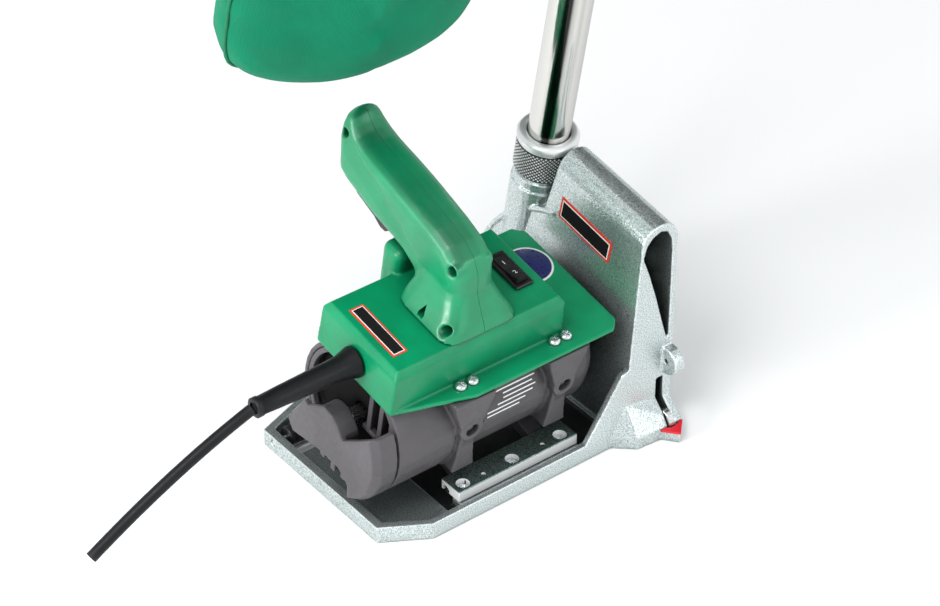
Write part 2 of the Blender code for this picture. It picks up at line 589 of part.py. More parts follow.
def end_cap(unit):
    """The cup on the motor's left end: a bearing bridge between two lobes of its wall."""
    wall = 2.6
    profile = [(MOTOR_R, 11.7), (MOTOR_R, 1.5), (40.5, -3.0), (0.0, -3.0), (0.0, 0.0),
               (MOTOR_R - wall - 0.4, 0.6), (MOTOR_R - wall, 2.0), (MOTOR_R - wall, 11.7)]
    cap = turned("end_cap", profile, (0, MOTOR_V, MOTOR_W), "X", unit, 32)
    join(cap, rod("bearing_hub", (-1.0, MOTOR_V, MOTOR_W), "X", 10.0, 12.4, unit, segments=20))
    top = [(50, -26), (36, -26), (22, 2), (19, 1), (10, 8), (5, 12), (-2, 12), (-8, 8), (-13, 2), (-24, 12),
           (-34, 22), (-50, 22), (-50, 60), (50, 60)]
    bottom = [(50, -30), (33, -30), (6, -22), (-12, -20), (-21, -25), (-26, -60), (50, -60)]
    shift = [[(MOTOR_V + v, MOTOR_W + w) for v, w in points] for points in (top, bottom)]
    cut(cap, plate("cap_top_window", shift[0], -5, 13, YZ_PLANE, unit),
        plate("cap_bottom_window", shift[1], -5, 13, YZ_PLANE, unit),
        rod("cap_bearing_seat", (2.0, MOTOR_V, MOTOR_W), "X", 12.0, BEARING_R + 0.4, unit, segments=20))
    return grey(cap)


def motor_inside(unit):
    line = empty("motor_line", (0, MOTOR_V, MOTOR_W), unit)
    dark_steel(ring("stator", 38.2, 27.5, 54.0, 98.0, line, 28))
    steel(ring("rear_bearing", BEARING_R, 4.4, 2.6, 9.0, line))
    steel(ring("drive_bearing", 12.6, 5.4, 135.6, 142.6, line, 28))
    for name, low, high in (("brush_holder_front", 34.0, 51.5), ("brush_holder_rear", 76.5, 94.0)):
        black(box(name, (30.0, low, MOTOR_W - 4), (38.0, high, MOTOR_W + 4), unit))


def spindle_parts(spindle):
    """Everything that turns with the motor shaft; x is measured from the base's left edge."""
    shaft = [(0, 191.8), (4.6, 191.8), (4.6, 178.0), (6.5, 178.0), (6.5, 143.6), (5.0, 143.6), (5.0, 12.0),
             (4.0, 12.0), (4.0, 2.4), (0, 2.4)]
    steel(turned("motor_shaft", shaft, (0, 0, 0), "X", spindle, 16))
    dark_steel(ring("armature_core", 26.8, 5.3, 55.0, 97.0, spindle))
    commutator = ring("commutator", 11.0, 5.3, 28.0, 40.0, spindle)
    finish(commutator, "copper", (0.75, 0.45, 0.3), 0.3, 1.0)
    rim = []
    for a in (math.tau * i / 36 for i in range(36)):
        radius = FAN_R + 3.0 * math.cos(9 * a)
        rim.append((radius * math.cos(a), radius * math.sin(a)))
    fan = plate("cooling_fan", rim, 102.0, 109.0, YZ_PLANE, spindle)
    cut(fan, rod("fan_bore", (100.0, 0, 0), "X", 12.0, 5.4, spindle, segments=20))
    black(fan)
    steel(ring("blade_flange", 15.0, 4.9, 178.4, BLADE_X - BLADE_T / 2 - GAP, spindle, 28))
    half = BLADE_T / 2
    blade = plate("saw_blade", blade_outline(), BLADE_X - half, BLADE_X + half, YZ_PLANE, spindle)
    cut(blade, rod("blade_bore", (BLADE_X - 5, 0, 0), "X", 10.0, 5.0, spindle, segments=20))
    steel(blade)
    low = BLADE_X + BLADE_T / 2 + GAP
    nut = rod("blade_nut", (low, 0, 0), "X", 191.2 - low, 9.5, spindle, segments=6)
    cut(nut, rod("nut_bore", (low - 2, 0, 0), "X", 10.0, 4.9, spindle, segments=20))
    steel(nut)


def blade_outline(teeth=16):
    """A disc with raked teeth."""
    outline = []
    tooth = ((0.0, BLADE_R), (0.42, BLADE_R - 1.6), (0.62, BLADE_R - 6.0), (0.9, BLADE_R - 5.0))
    for i in range(teeth):
        for share, radius in tooth:
            a = math.tau * (i + share) / teeth
            outline.append((radius * math.cos(a), radius * math.sin(a)))
    return outline


# ---------------------------------------------------------------- cover, handle and controls

def motor_cover(unit):
    low, high = (10.0, 30.2), (126.0, 96.4)
    rings = []
    for w, side, end in ((FLANGE_LOW + 0.5, 0.0, 0.0), (COVER_TOP - 4, 1.3, 0.4), (COVER_TOP, 4.2, 3.2)):
        x0, x1, v0, v1 = low[0] + side, high[0] - side, low[1] + end, high[1] - end
        rings.append([(x0, v0, w), (x1, v0, w), (x1, v1, w), (x0, v1, w)])
    cover = loft("motor_cover", rings, unit)
    flange = [(10.0, 30.6), (58.0, 17.0), (152.0, 17.0), (158.0, 23.0), (158.0, 102.6), (152.0, 108.6),
              (52.0, 108.6), (48.0, 96.0), (10.0, 96.0)]
    join(cover, plate("flange", flange, FLANGE_LOW, FLANGE_TOP, XY_PLANE, unit))
    hump = box("rear_hump", (55.0, 90.0, FLANGE_LOW + 1), (76.0, 106.0, 122.0), unit, bevel=5.0, segments=3)
    join(cover, hump)
    cut(cover, box("cover_inside", (12.6, 32.6, 70), (123.0, 93.8, COVER_TOP - 2.6), unit),
        box("switch_hole", (SWITCH_LOW[0] + 1.4, SWITCH_LOW[1] + 1.4, 98),
            (SWITCH_HIGH[0] - 1.4, SWITCH_HIGH[1] - 1.4, 112), unit),
        rod("boot_hole", (5.0, BOOT_V, BOOT_W), "X", 10.0, 5.6, unit, segments=20))
    for i, (x, v) in enumerate(COVER_SCREWS):
        cut(cover, rod(f"flange_hole_{i}", (x, v, 70), "Z", 14.0, 2.1, unit, segments=12))
    green(cover)
    for i, (x, v) in enumerate(COVER_SCREWS):
        head = FLANGE_TOP + GAP
        profile = [(0, head + 2.2), (2.3, head + 2.2), (3.3, head + 1.0), (3.3, head), (1.8, head),
                   (1.8, 72.0), (0, 72.0)]
        steel(turned(f"cover_screw_{i + 1}", profile, (x, v, 0), "Z", unit, 10))


def shrunk(outline, amount):
    """The outline, listed clockwise, moved inwards by amount, and by less where the horn is narrow."""
    result = []
    count = len(outline)
    for i, (v, w) in enumerate(outline):
        before, after = Vector(outline[i - 1]), Vector(outline[(i + 1) % count])
        along = (after - before).normalized()
        step = amount * min(1.0, max(0.3, (182.0 - w) / 25.0))
        result.append((v + along.y * step, w - along.x * step))
    return result


def horn_taper(w):
    """How much of the grip's width is left at height w: the horn narrows towards its tip."""
    return 1.0 - HORN_NARROWING * min(1.0, max(0.0, (w - HORN_W) / HORN_RISE))


def handle_half(name, side, unit):
    """One half of the handle: side is -1 for the left half and +1 for the right."""
    foot_w = COVER_TOP + GAP
    rings = []
    for offset, amount in ((0.0, 0.0), (6.0, 0.3), (10.0, 1.9), (12.8, 4.6), (HANDLE_HALF, 8.6)):
        level = [(v, max(w, foot_w)) for v, w in shrunk(HANDLE_OUTLINE, amount)]
        rings.append([(HANDLE_X + side * max(PART_LINE, offset * horn_taper(w)), v, w) for v, w in level])
    half = loft(name, rings, unit)
    rings = []
    for rise, half_x, v0, v1, radius in ((0, 25.0, 31.5, 79.5, 9.0), (5, 22.4, 33.4, 79.2, 9.0),
                                         (11, 18.6, 36.8, 78.6, 9.0), (18, 15.4, 40.6, 78.0, 9.0),
                                         (26, 13.0, 44.6, 77.4, 8.0), (33, 10.6, 49.0, 76.6, 7.0)):
        level = [(PART_LINE, v0)] + arc((half_x - radius, v0 + radius), radius, -90, 0, 3)
        level += arc((half_x - radius, v1 - radius), radius, 0, 90, 3) + [(PART_LINE, v1)]
        rings.append([(HANDLE_X + side * x, v, foot_w + rise) for x, v in level])
    join(half, loft(name + "_foot", rings, unit))
    low, high = sorted((HANDLE_X - side * 5, HANDLE_X + side * (HANDLE_HALF - 3.0)))
    inner = [(v, w) for v, w in shrunk(HANDLE_OUTLINE, 3.4) if w < HORN_W]
    cavity = [(v, w - 4.0 if w < COVER_TOP + 8 else w) for v, w in inner]
    boss_v, boss_w = HANDLE_SCREWS[1]
    cut(half, plate(name + "_cavity", cavity, low, high, YZ_PLANE, unit))
    start = min(HANDLE_X + side * PART_LINE, HANDLE_X + side * 12.0)
    join(half, rod(name + "_boss", (start, boss_v, boss_w), "X", 12.0 - PART_LINE, 4.4, unit, segments=16))
    cut(half,
        box(name + "_trigger_slot", (HANDLE_X - 5.4, 109.0, 116.0), (HANDLE_X + 5.4, 147.0, 139.0), unit),
        box(name + "_button_slot", (HANDLE_X - 4.0, 147.0, 139.6), (HANDLE_X + 4.0, 160.0, 147.0), unit))
    return half


def handle_parts(unit):
    left = handle_half("handle_left", -1, unit)
    right = handle_half("handle_right", 1, unit)
    for i, (v, w) in enumerate(HANDLE_SCREWS):
        cut(left, rod(f"left_counterbore_{i}", (40.0, v, w), "X", 26.2, 2.9, unit, segments=12),
            rod(f"left_screw_hole_{i}", (65.0, v, w), "X", 7.0, 2.0, unit, segments=12))
        cut(right, rod(f"right_screw_hole_{i}", (69.0, v, w), "X", 9.0, 2.0, unit, segments=12))
    green(left)
    green(right)
    for i, (v, w) in enumerate(HANDLE_SCREWS):
        profile = [(0, 14.6), (1.6, 14.6), (1.6, 3.0), (2.6, 3.0), (2.6, 0.0), (0, 0.0)]
        dark_steel(turned(f"handle_screw_{i + 1}", profile, (62.8, v, w), "X", unit, 12))


def controls(unit):
    pivot = empty("trigger_axis", (HANDLE_X, *TRIGGER_PIVOT), unit)
    outline = [(-2.4, -1.8), (0.6, -12.6), (3.6, -15.6), (8.0, -15.8), (14.0, -12.6), (30.0, -8.6),
               (34.0, -5.4), (34.4, 3.0), (30.0, 4.0), (2.0, 2.4), (-2.0, 2.0)]
    black(plate("trigger", outline, -5.0, 5.0, YZ_PLANE, pivot))
    point = empty("lock_button_slide", (HANDLE_X, 153.0, 143.3), unit)
    black(box("lock_button", (-3.6, -5.5, -3.2), (3.6, 2.6, 3.2), point, bevel=0.8, segments=1))
    (x0, v0), (x1, v1) = SWITCH_LOW, SWITCH_HIGH
    body = box("switch_body", (x0, v0, COVER_TOP + GAP), (x1, v1, COVER_TOP + 1.8), unit, 0.5, 1)
    join(body, box("switch_stem", (x0 + 1.7, v0 + 1.7, 92.0), (x1 - 1.7, v1 - 1.7, COVER_TOP + 1.0), unit))
    cut(body, box("switch_well", (x0 + 2.4, v0 + 2.6, 99.0), (x1 - 2.4, v1 - 2.6, 112.0), unit))
    black(body)
    middle = ((x0 + x1) / 2, (v0 + v1) / 2, COVER_TOP + 0.5)
    rocker_axis = empty("rocker_axis", middle, unit)
    rocker = [(-10.9, 4.6), (-10.9, 1.0), (-6.5, -4.6), (6.5, -4.6), (10.9, -1.4), (10.9, 1.4), (0.0, 1.9)]
    black(plate("speed_rocker", rocker, -3.3, 3.3, YZ_PLANE, rocker_axis))


def power_lead(unit):
    profile = [(0, 2.6), (5.2, 2.6), (5.2, -0.4), (9.0, -0.4), (8.6, -3.4), (6.6, -8.0), (5.6, -30.0),
               (4.8, -64.0), (0, -64.0)]
    rubber(turned("cable_boot", profile, (10.0, BOOT_V, BOOT_W), "X", unit, 16))
    path = cable_path()
    rubber(wire("power_cable", path, 3.2, unit, sides=2))


def cable_path():
    """The lead from the boot's end, sagging under its own weight."""
    start = Vector((-55.3, BOOT_V, BOOT_W))
    points = []
    for i in range(11):
        t = i / 10
        points.append((start.x - 98.0 * t, start.y - 4.0 * t, start.z - 34.0 * t - 18.0 * t * t))
    return points


def return_spring(datum):
    """Coil spring between the base's floor and the lug behind the motor."""
    turns, sides, wire_r, coil_r, height = 4.5, 8, 0.8, 5.2, 22.6
    count = int(turns * sides)
    points = []
    for i in range(count + 1):
        a = math.tau * i / sides
        rise = height * i / count
        points.append((37.5 + coil_r * math.cos(a), 103.5 + coil_r * math.sin(a), FLOOR + 1.2 + rise))
    steel(wire("return_spring", points, wire_r, datum, sides=1))


clear_scene()
PARTS = new_collection("floor_seam_cutter")
TOOLS = new_collection("cutters")
MOTOR_Y, MOTOR_Z = unit_to_base(MOTOR_V, MOTOR_W)
ACCESS_Z = MOTOR_Z - 4.0
HINGE_V, HINGE_W = base_to_unit(HINGE_Y, HINGE_Z)
ACCESS_SCREWS = [(MOTOR_Y + ACCESS_SCREW_R * math.cos(a), ACCESS_Z + ACCESS_SCREW_R * math.sin(a))
                 for a in (math.radians(90), math.radians(210), math.radians(330))]


def main():
    datum = empty("base_datum", (-ORIGIN[0], -ORIGIN[1], 0))
    unit_frame = empty("tilted_frame", (0, 0, 0), datum, (TILT, 0, 0))
    hinge = empty("plunge_axis", (ORIGIN[0], HINGE_Y, HINGE_Z), datum, (TILT, 0, 0))
    unit = empty("unit_datum", (-ORIGIN[0], -HINGE_V, -HINGE_W), hinge)
    spindle = empty("spindle_axis", (0, MOTOR_V, MOTOR_W), unit)
    tube_frame = empty("tube_axis", (TUBE_X, TUBE_V, NUT_LOW), unit_frame)
    bpy.context.view_layer.update()
    base_casting(datum, unit_frame)
    access_cover(datum)
    hinge_bar(datum)
    rolling_parts(datum)
    pointer_plate(datum)
    depth_knob(datum)
    dust_duct(unit_frame, tube_frame)
    motor_housing(unit)
    end_cap(unit)
    motor_inside(unit)
    spindle_parts(spindle)
    motor_cover(unit)
    handle_parts(unit)
    controls(unit)
    power_lead(unit)
    return_spring(datum)


main()
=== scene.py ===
"""Visual model of a hand-guided electric seam cutter for floors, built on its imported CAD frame.

Drawing coordinates are in millimetres, as in the CAD source. Base drawing (x, y, z) has its origin at
the front left of the sole. Unit drawing (x, v, w) is the same drawing turned by TILT about x.
"""
import math

import bmesh
import bpy
import numpy as np
from mathutils import Matrix, Vector, noise


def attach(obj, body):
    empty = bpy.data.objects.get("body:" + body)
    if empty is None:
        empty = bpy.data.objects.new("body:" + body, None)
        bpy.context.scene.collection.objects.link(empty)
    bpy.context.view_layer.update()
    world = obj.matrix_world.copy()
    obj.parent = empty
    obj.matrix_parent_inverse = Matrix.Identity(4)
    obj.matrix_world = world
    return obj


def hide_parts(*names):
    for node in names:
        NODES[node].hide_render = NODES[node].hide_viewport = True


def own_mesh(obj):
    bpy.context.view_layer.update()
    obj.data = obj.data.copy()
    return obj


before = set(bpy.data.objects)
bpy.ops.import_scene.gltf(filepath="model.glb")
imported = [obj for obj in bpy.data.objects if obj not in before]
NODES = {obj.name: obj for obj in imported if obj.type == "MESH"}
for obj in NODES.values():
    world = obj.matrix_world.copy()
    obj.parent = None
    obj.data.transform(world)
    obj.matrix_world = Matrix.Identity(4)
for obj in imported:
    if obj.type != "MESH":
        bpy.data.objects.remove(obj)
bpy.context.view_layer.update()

MM = 0.001
TILT = math.radians(10.4)
BASE = Matrix.Scale(MM, 4) @ Matrix.Translation((-91.0, -8.0, 0.0))
UNIT = BASE @ Matrix.Rotation(TILT, 4, "X")
TO_X = Matrix.Rotation(math.pi / 2, 4, "Y")
TO_FRONT = Matrix.Rotation(math.pi / 2, 4, "X")
MOTOR_V, MOTOR_W = 64.0, 45.0
LUG_XS, ROCKER_X = (57.5, 121.0), 110.0
TUBE_X, TUBE_V, TUBE_R = 179.5, 120.0, 12.0
NUT_LOW = 106.3
BEND_W, BEND_R, TUBE_END_W = 430.0, 75.0, 418.0
BEND_DROP = 0.4  # keeps the smooth bend under the top of the faceted one
BAG_X = TUBE_X - 2 * BEND_R
BAG_RINGS, BAG_SIDES = 30, 48
BAG_VOXEL, BAG_PRESSURE, BAG_FRAMES, BAG_REACH = 5.0, 4.0, 20, 6.0
COVER_TOP = 107.0
ACCESS_CENTRE, ACCESS_SCREW_R, COVER_FACE_X = (54.8, 51.8), 43.0, 193.7
GRIP_X = 70.0
HORN_LOW, HORN_HEIGHT, HORN_CROWN, HORN_HALF_WIDTH = 158.0, 18.0, 3.0, 10.0
SPRING_SEAT_Z, SPRING_KEEP = 5.2, 0.21
CAMERA_PLACE, CAMERA_LENS = (-0.7963, -0.9794, 1.0679), 114.9
CAMERA_HEADING, CAMERA_FALL = math.radians(-37.9), math.radians(36.8)


# ---------------------------------------------------------------- materials

class Look:
    """A material under construction: add() makes a node, and set() gives its inputs values or links."""

    def __init__(self, name, colour, roughness, metallic=0.0, **extra):
        self.material = bpy.data.materials.new(name)
        self.material.use_nodes = True
        self.tree = self.material.node_tree
        self.shader = self.tree.nodes["Principled BSDF"]
        self.set(self.shader, {"Base Color": (*colour, 1.0), "Roughness": roughness, "Metallic": metallic,
                               **extra})
        self.place = self.add("ShaderNodeTexCoord").outputs["Object"]
        self.normal = None

    @classmethod
    def again(cls, material):
        """Reopens a finished material, so that more can be laid over its colour."""
        look = cls.__new__(cls)
        look.material, look.tree = material, material.node_tree
        look.shader = look.tree.nodes["Principled BSDF"]
        return look

    def current_colour(self):
        return self.shader.inputs["Base Color"].links[0].from_socket

    def set(self, node, values):
        for key, value in values.items():
            target = node.inputs[key]
            if isinstance(value, bpy.types.NodeSocket):
                self.tree.links.new(value, target)
            else:
                target.default_value = value

    def add(self, kind, options=None, **values):
        node = self.tree.nodes.new(kind)
        for key, value in (options or {}).items():
            setattr(node, key, value)
        self.set(node, {key.replace("_", " "): value for key, value in values.items()})
        return node

    def stretched(self, scale, turn=(0, 0, 0)):
        return self.add("ShaderNodeMapping", Vector=self.place, Scale=scale, Rotation=turn).outputs["Vector"]

    def noise(self, scale, detail=2.0, place=None):
        node = self.add("ShaderNodeTexNoise", Vector=place or self.place, Scale=scale, Detail=detail)
        return node.outputs["Fac"]

    def cells(self, scale):
        node = self.add("ShaderNodeTexVoronoi", {"feature": "SMOOTH_F1"}, Vector=self.place, Scale=scale,
                        Smoothness=0.6)
        return node.outputs["Distance"]

    def remap(self, value, low, high, new_low, new_high):
        node = self.add("ShaderNodeMapRange")
        for slot, item in zip(range(5), (value, low, high, new_low, new_high)):
            if slot == 0:
                self.tree.links.new(item, node.inputs[0])
            else:
                node.inputs[slot].default_value = item
        return node.outputs[0]

    def mix(self, share, first, second):
        node = self.add("ShaderNodeMix", {"data_type": "RGBA"})
        for slot, item in ((0, share), (6, first), (7, second)):
            if isinstance(item, bpy.types.NodeSocket):
                self.tree.links.new(item, node.inputs[slot])
            else:
                node.inputs[slot].default_value = item if slot == 0 else (*item, 1.0)
        return node.outputs[2]

    def math(self, operation, first, second):
        node = self.add("ShaderNodeMath", {"operation": operation})
        for slot, item in enumerate((first, second)):
            if isinstance(item, bpy.types.NodeSocket):
                self.tree.links.new(item, node.inputs[slot])
            else:
                node.inputs[slot].default_value = item
        return node.outputs[0]

    def colour(self, value):
        self.set(self.shader, {"Base Color": value})

    def roughness(self, value):
        self.set(self.shader, {"Roughness": value})

    def bump(self, height, strength, distance):
        values = {"Height": height, "Strength": strength, "Distance": distance}
        if self.normal is not None:
            values["Normal"] = self.normal
        node = self.tree.nodes.new("ShaderNodeBump")
        self.set(node, values)
        self.normal = node.outputs["Normal"]
        self.set(self.shader, {"Normal": self.normal})

    def soften_edges(self, radius):
        node = self.add("ShaderNodeBevel", {"samples": 4}, Radius=radius * MM)
        self.normal = node.outputs["Normal"]
        self.set(self.shader, {"Normal": self.normal})

    def pointed(self):
        """1 on sharp outer edges of a dense mesh, 0 elsewhere."""
        point = self.add("ShaderNodeNewGeometry").outputs["Pointiness"]
        return self.remap(point, 0.52, 0.60, 0.0, 1.0)

    def painted_shade_mask(self, reach, low, high):
        """1 in corners and hollows, 0 on open surfaces: the mask where shade is painted."""
        node = self.add("ShaderNodeAmbientOcclusion", {"samples": 6}, Distance=reach * MM)
        return self.remap(node.outputs["AO"], low, high, 1.0, 0.0)


ENAMEL_METAL = 0.86
CEILING_FACING = Vector((-0.30, -0.50, 0.81))
# The black painted as shade round the opening under the motor.
SUMP_SHADE_BLACK = (0.008, 0.009, 0.009)
# The green-grey shade painted into the casting's corners and hollows.
HOLLOW_SHADE_TINT = (0.042, 0.082, 0.069)
# Painted reflection on the polished tube: where its dark streak turns to, and the brightness stops round it.
REFLECTION_STREAK_TURN = math.radians(218.0)
REFLECTION_STREAK_STOPS = (
    (0.0, 0.35), (0.03, 0.80), (0.14, 0.86), (0.172, 0.70), (0.19, 0.05), (0.235, 0.035), (0.255, 0.55),
    (0.29, 0.80), (0.325, 0.62), (0.35, 0.78), (0.40, 0.74), (0.44, 0.42), (0.465, 0.12), (0.5, 0.06),
    (0.56, 0.5), (0.9, 0.7))


def shaded(colour, share):
    return tuple(channel * share for channel in colour)


def hammertone(name, light, dark, edge):
    look = Look(name, light, 0.3, ENAMEL_METAL)
    speckle = look.remap(look.noise(1500.0, 3.0), 0.34, 0.58, 0.0, 1.0)
    colour = look.mix(speckle, dark, light)
    # Painted shade: the casting darkens towards a green-grey tint in corners and hollows.
    hollow = look.math("MULTIPLY", look.painted_shade_mask(40.0, 0.08, 0.66), 0.9)
    colour = look.mix(hollow, colour, HOLLOW_SHADE_TINT)
    look.colour(look.mix(look.math("MULTIPLY", look.pointed(), 0.8), colour, edge))
    look.roughness(look.remap(look.noise(500.0), 0.3, 0.7, 0.28, 0.42))
    look.bump(look.cells(900.0), 0.35, 0.0003)
    look.bump(look.noise(1500.0, 2.0), 0.25, 0.0002)
    return look.material


def paint_sump_shade(material, low, high):
    """Painted shade: blackens the casting inside a box given in base drawing millimetres, round the opening
    under the motor, where shade falls.
    """
    look = Look.again(material)
    place = look.add("ShaderNodeTexCoord").outputs["Object"]
    parts = look.add("ShaderNodeSeparateXYZ", Vector=place)
    inside = None
    for axis, (a, b) in enumerate(zip(BASE @ Vector(low), BASE @ Vector(high))):
        for operation, limit in (("GREATER_THAN", a), ("LESS_THAN", b)):
            test = look.math(operation, parts.outputs[axis], limit)
            inside = test if inside is None else look.math("MULTIPLY", inside, test)
    look.colour(look.mix(inside, look.current_colour(), SUMP_SHADE_BLACK))
    look.set(look.shader, {"Metallic": look.remap(inside, 0.0, 1.0, ENAMEL_METAL, 0.0)})
    return material


def machined_bar():
    """Hammertone on top, painted dark as a reflection of dark surroundings, and bright ground steel on the
    sides.
    """
    look = Look("ground_bar_painted_dark_top", (0.8, 0.8, 0.8), 0.32, 0.86)
    look.soften_edges(0.3)
    normal = look.add("ShaderNodeNewGeometry").outputs["Normal"]
    up = look.remap(look.add("ShaderNodeSeparateXYZ", Vector=normal).outputs["Z"], 0.5, 0.6, 0.0, 1.0)
    speckle = look.remap(look.noise(1300.0, 3.0), 0.36, 0.62, 0.0, 1.0)
    # Painted reflection: the top's speckled hammertone is kept dark, as if it mirrored dark surroundings.
    top = look.mix(speckle, (0.08, 0.13, 0.115), (0.28, 0.37, 0.34))
    lines = look.noise(1.0, 2.0, place=look.stretched((40.0, 2000.0, 2000.0)))
    side = look.mix(look.remap(lines, 0.3, 0.7, 0.0, 1.0), (0.80, 0.80, 0.80), (0.92, 0.92, 0.92))
    look.colour(look.mix(up, side, top))
    look.set(look.shader, {"Metallic": look.remap(up, 0.0, 1.0, 0.25, 0.86)})
    look.bump(look.cells(620.0), 0.3, 0.0003)
    return look.material


def moulded(name, colour, roughness, grain=2400.0, depth=0.12, soft=None, shine=0.35):
    look = Look(name, colour, roughness, 0.0, **{"Specular IOR Level": shine})
    if soft:
        look.soften_edges(soft)
    darker = shaded(colour, 0.82)
    shade = look.remap(look.noise(45.0, 3.0), 0.35, 0.65, 0.0, 1.0)
    worn = tuple(min(1.0, channel * 1.25 + 0.02) for channel in colour)
    base = look.mix(shade, darker, colour)
    # Painted shade: the moulding darkens in corners and hollows.
    base = look.mix(look.painted_shade_mask(14.0, 0.2, 0.9), base, shaded(colour, 0.3))
    look.colour(look.mix(look.math("MULTIPLY", look.pointed(), 0.5), base, worn))
    look.roughness(look.remap(look.noise(300.0, 4.0), 0.3, 0.7, roughness - 0.06, roughness + 0.08))
    look.bump(look.noise(grain, 3.0), depth, 0.0002)
    return look.material


def grip_moulding(name, colour):
    """The green moulding with a painted dark band where a surface faces CEILING_FACING, as if it mirrored a
    dark ceiling. The band doesn't follow the camera or the lights."""
    material = moulded(name, colour, 0.36, 2200.0, 0.10, shine=0.6)
    look = Look.again(material)
    normal = look.add("ShaderNodeNewGeometry").outputs["Normal"]
    facing = look.add("ShaderNodeVectorMath", {"operation": "DOT_PRODUCT"})
    look.tree.links.new(normal, facing.inputs[0])
    facing.inputs[1].default_value = CEILING_FACING.normalized()
    band = look.remap(facing.outputs["Value"], 0.86, 0.985, 0.0, 0.62)
    look.colour(look.mix(band, look.current_colour(), shaded(colour, 0.2)))
    return material


def metal(name, colour, roughness, scratch=(60.0, 1800.0, 1800.0)):
    look = Look(name, colour, roughness, 1.0)
    look.soften_edges(0.25)
    lines = look.noise(1.0, 3.0, place=look.stretched(scratch))
    look.roughness(look.remap(lines, 0.3, 0.7, roughness - 0.05, roughness + 0.1))
    darker = shaded(colour, 0.7)
    look.colour(look.mix(look.remap(look.noise(90.0, 4.0), 0.4, 0.7, 0.0, 0.45), colour, darker))
    look.bump(lines, 0.12, 0.0001)
    return look.material


def polished(name):
    """A bright tube with a painted reflection, a dark streak and dark edge, placed by which way its surface
    faces.
    """
    look = Look(name, (0.8, 0.79, 0.76), 0.1, 1.0)
    normal = look.add("ShaderNodeNewGeometry").outputs["Normal"]
    parts = look.add("ShaderNodeSeparateXYZ", Vector=normal).outputs
    angle = look.math("ARCTAN2", parts[1], parts[0])
    turned = look.math("DIVIDE", look.math("ADD", angle, REFLECTION_STREAK_TURN), math.tau)
    turned = look.math("FRACT", turned, 0.0)
    wander = look.noise(1.0, 2.0, place=look.stretched((10.0, 10.0, 4.0)))
    turned = look.math("ADD", turned, look.remap(wander, 0.3, 0.7, -0.008, 0.008))
    ramp = look.add("ShaderNodeValToRGB")
    look.tree.links.new(turned, ramp.inputs[0])
    elements = ramp.color_ramp.elements
    for place, _ in REFLECTION_STREAK_STOPS[1:-1]:
        elements.new(place)
    for element, (place, shade) in zip(elements, REFLECTION_STREAK_STOPS):
        element.position = place
        element.color = (shade * 0.86, shade * 0.85, shade * 0.81, 1.0)
    look.colour(ramp.outputs[0])
    lines = look.noise(1.0, 3.0, place=look.stretched((1500.0, 1500.0, 25.0)))
    look.roughness(look.remap(lines, 0.3, 0.7, 0.07, 0.2))
    look.bump(lines, 0.03, 0.0001)
    return look.material


def knurled(name):
    """Turned steel whose knurl grooves are painted dark as shade; the mesh's groove attribute is 1 at their
    floor.
    """
    look = Look(name, (0.8, 0.81, 0.8), 0.28, 0.6)
    groove = look.add("ShaderNodeAttribute", {"attribute_name": "groove"}).outputs["Fac"]
    # Painted shade: the knurl darkens to near black towards the groove floors.
    groove_shade = look.remap(groove, 0.42, 0.8, 0.0, 1.0)
    look.colour(look.mix(groove_shade, (0.80, 0.81, 0.80), (0.012, 0.012, 0.012)))
    lines = look.noise(1.0, 3.0, place=look.stretched((1500.0, 1500.0, 90.0)))
    look.roughness(look.remap(lines, 0.3, 0.7, 0.3, 0.45))
    look.bump(lines, 0.08, 0.0001)
    return look.material


def woven(name, colour):
    sheen = {"Sheen Weight": 0.06, "Sheen Roughness": 0.5, "Specular IOR Level": 0.08}
    look = Look(name, colour, 0.85, 0.0, **sheen)
    height = None
    for turn in ((0, 0, 0), (0, math.pi / 2, 0)):
        wave = look.add("ShaderNodeTexWave", {"bands_direction": "X"}, Vector=look.stretched((1, 1, 1), turn),
                        Scale=420.0, Distortion=0.6, Detail=1.0).outputs["Fac"]
        height = wave if height is None else look.math("MAXIMUM", height, wave)
    darker = shaded(colour, 0.6)
    base = look.mix(look.remap(look.noise(14.0, 3.0), 0.3, 0.7, 0.0, 1.0), darker, colour)
    look.colour(look.mix(look.remap(height, 0.0, 1.0, 0.25, 0.0), base, darker))
    look.bump(look.noise(30.0, 3.0), 0.3, 0.002)
    look.bump(height, 0.35, 0.0004)
    return look.material


CASTING = hammertone("hammertone_enamel", (0.75, 0.80, 0.80), (0.27, 0.34, 0.33), (0.93, 0.95, 0.95))
# Painted shade round the opening under the motor.
paint_sump_shade(CASTING, (42.0, 5.0, 0.3), (159.0, 92.0, 3.2))
BAR = machined_bar()
GREEN = moulded("green_moulding", (0.0, 0.25, 0.102), 0.34, 2200.0, 0.10)
GRIP = grip_moulding("green_grip_moulding", (0.0, 0.25, 0.102))
GREY = moulded("grey_moulding", (0.086, 0.080, 0.087), 0.45, 1700.0, 0.22)
BLACK = moulded("black_moulding", (0.010, 0.009, 0.010), 0.3, soft=0.3)
RUBBER = moulded("black_rubber", (0.008, 0.008, 0.009), 0.42, 900.0, 0.10, shine=0.22)
RED = moulded("red_moulding", (0.60, 0.008, 0.02), 0.35, soft=0.3)
BORDER = moulded("red_print", (0.70, 0.035, 0.01), 0.5, shine=0.2)
CHROME = polished("polished_tube")
STEEL = metal("bright_steel", (0.72, 0.72, 0.71), 0.22)
ZINC = metal("zinc_plate", (0.70, 0.73, 0.74), 0.25, (900.0, 900.0, 900.0))
DARK = metal("dark_steel", (0.13, 0.13, 0.135), 0.38, (900.0, 900.0, 900.0))
COPPER = metal("copper", (0.72, 0.36, 0.2), 0.3)
KNURL = knurled("turned_steel")
FABRIC = woven("green_filter_cloth", (0.0, 0.24, 0.118))
THREAD = moulded("green_webbing", (0.0, 0.16, 0.07), 0.8, 1400.0, 0.4)
PAPER = moulded("white_print", (0.8, 0.8, 0.78), 0.4)
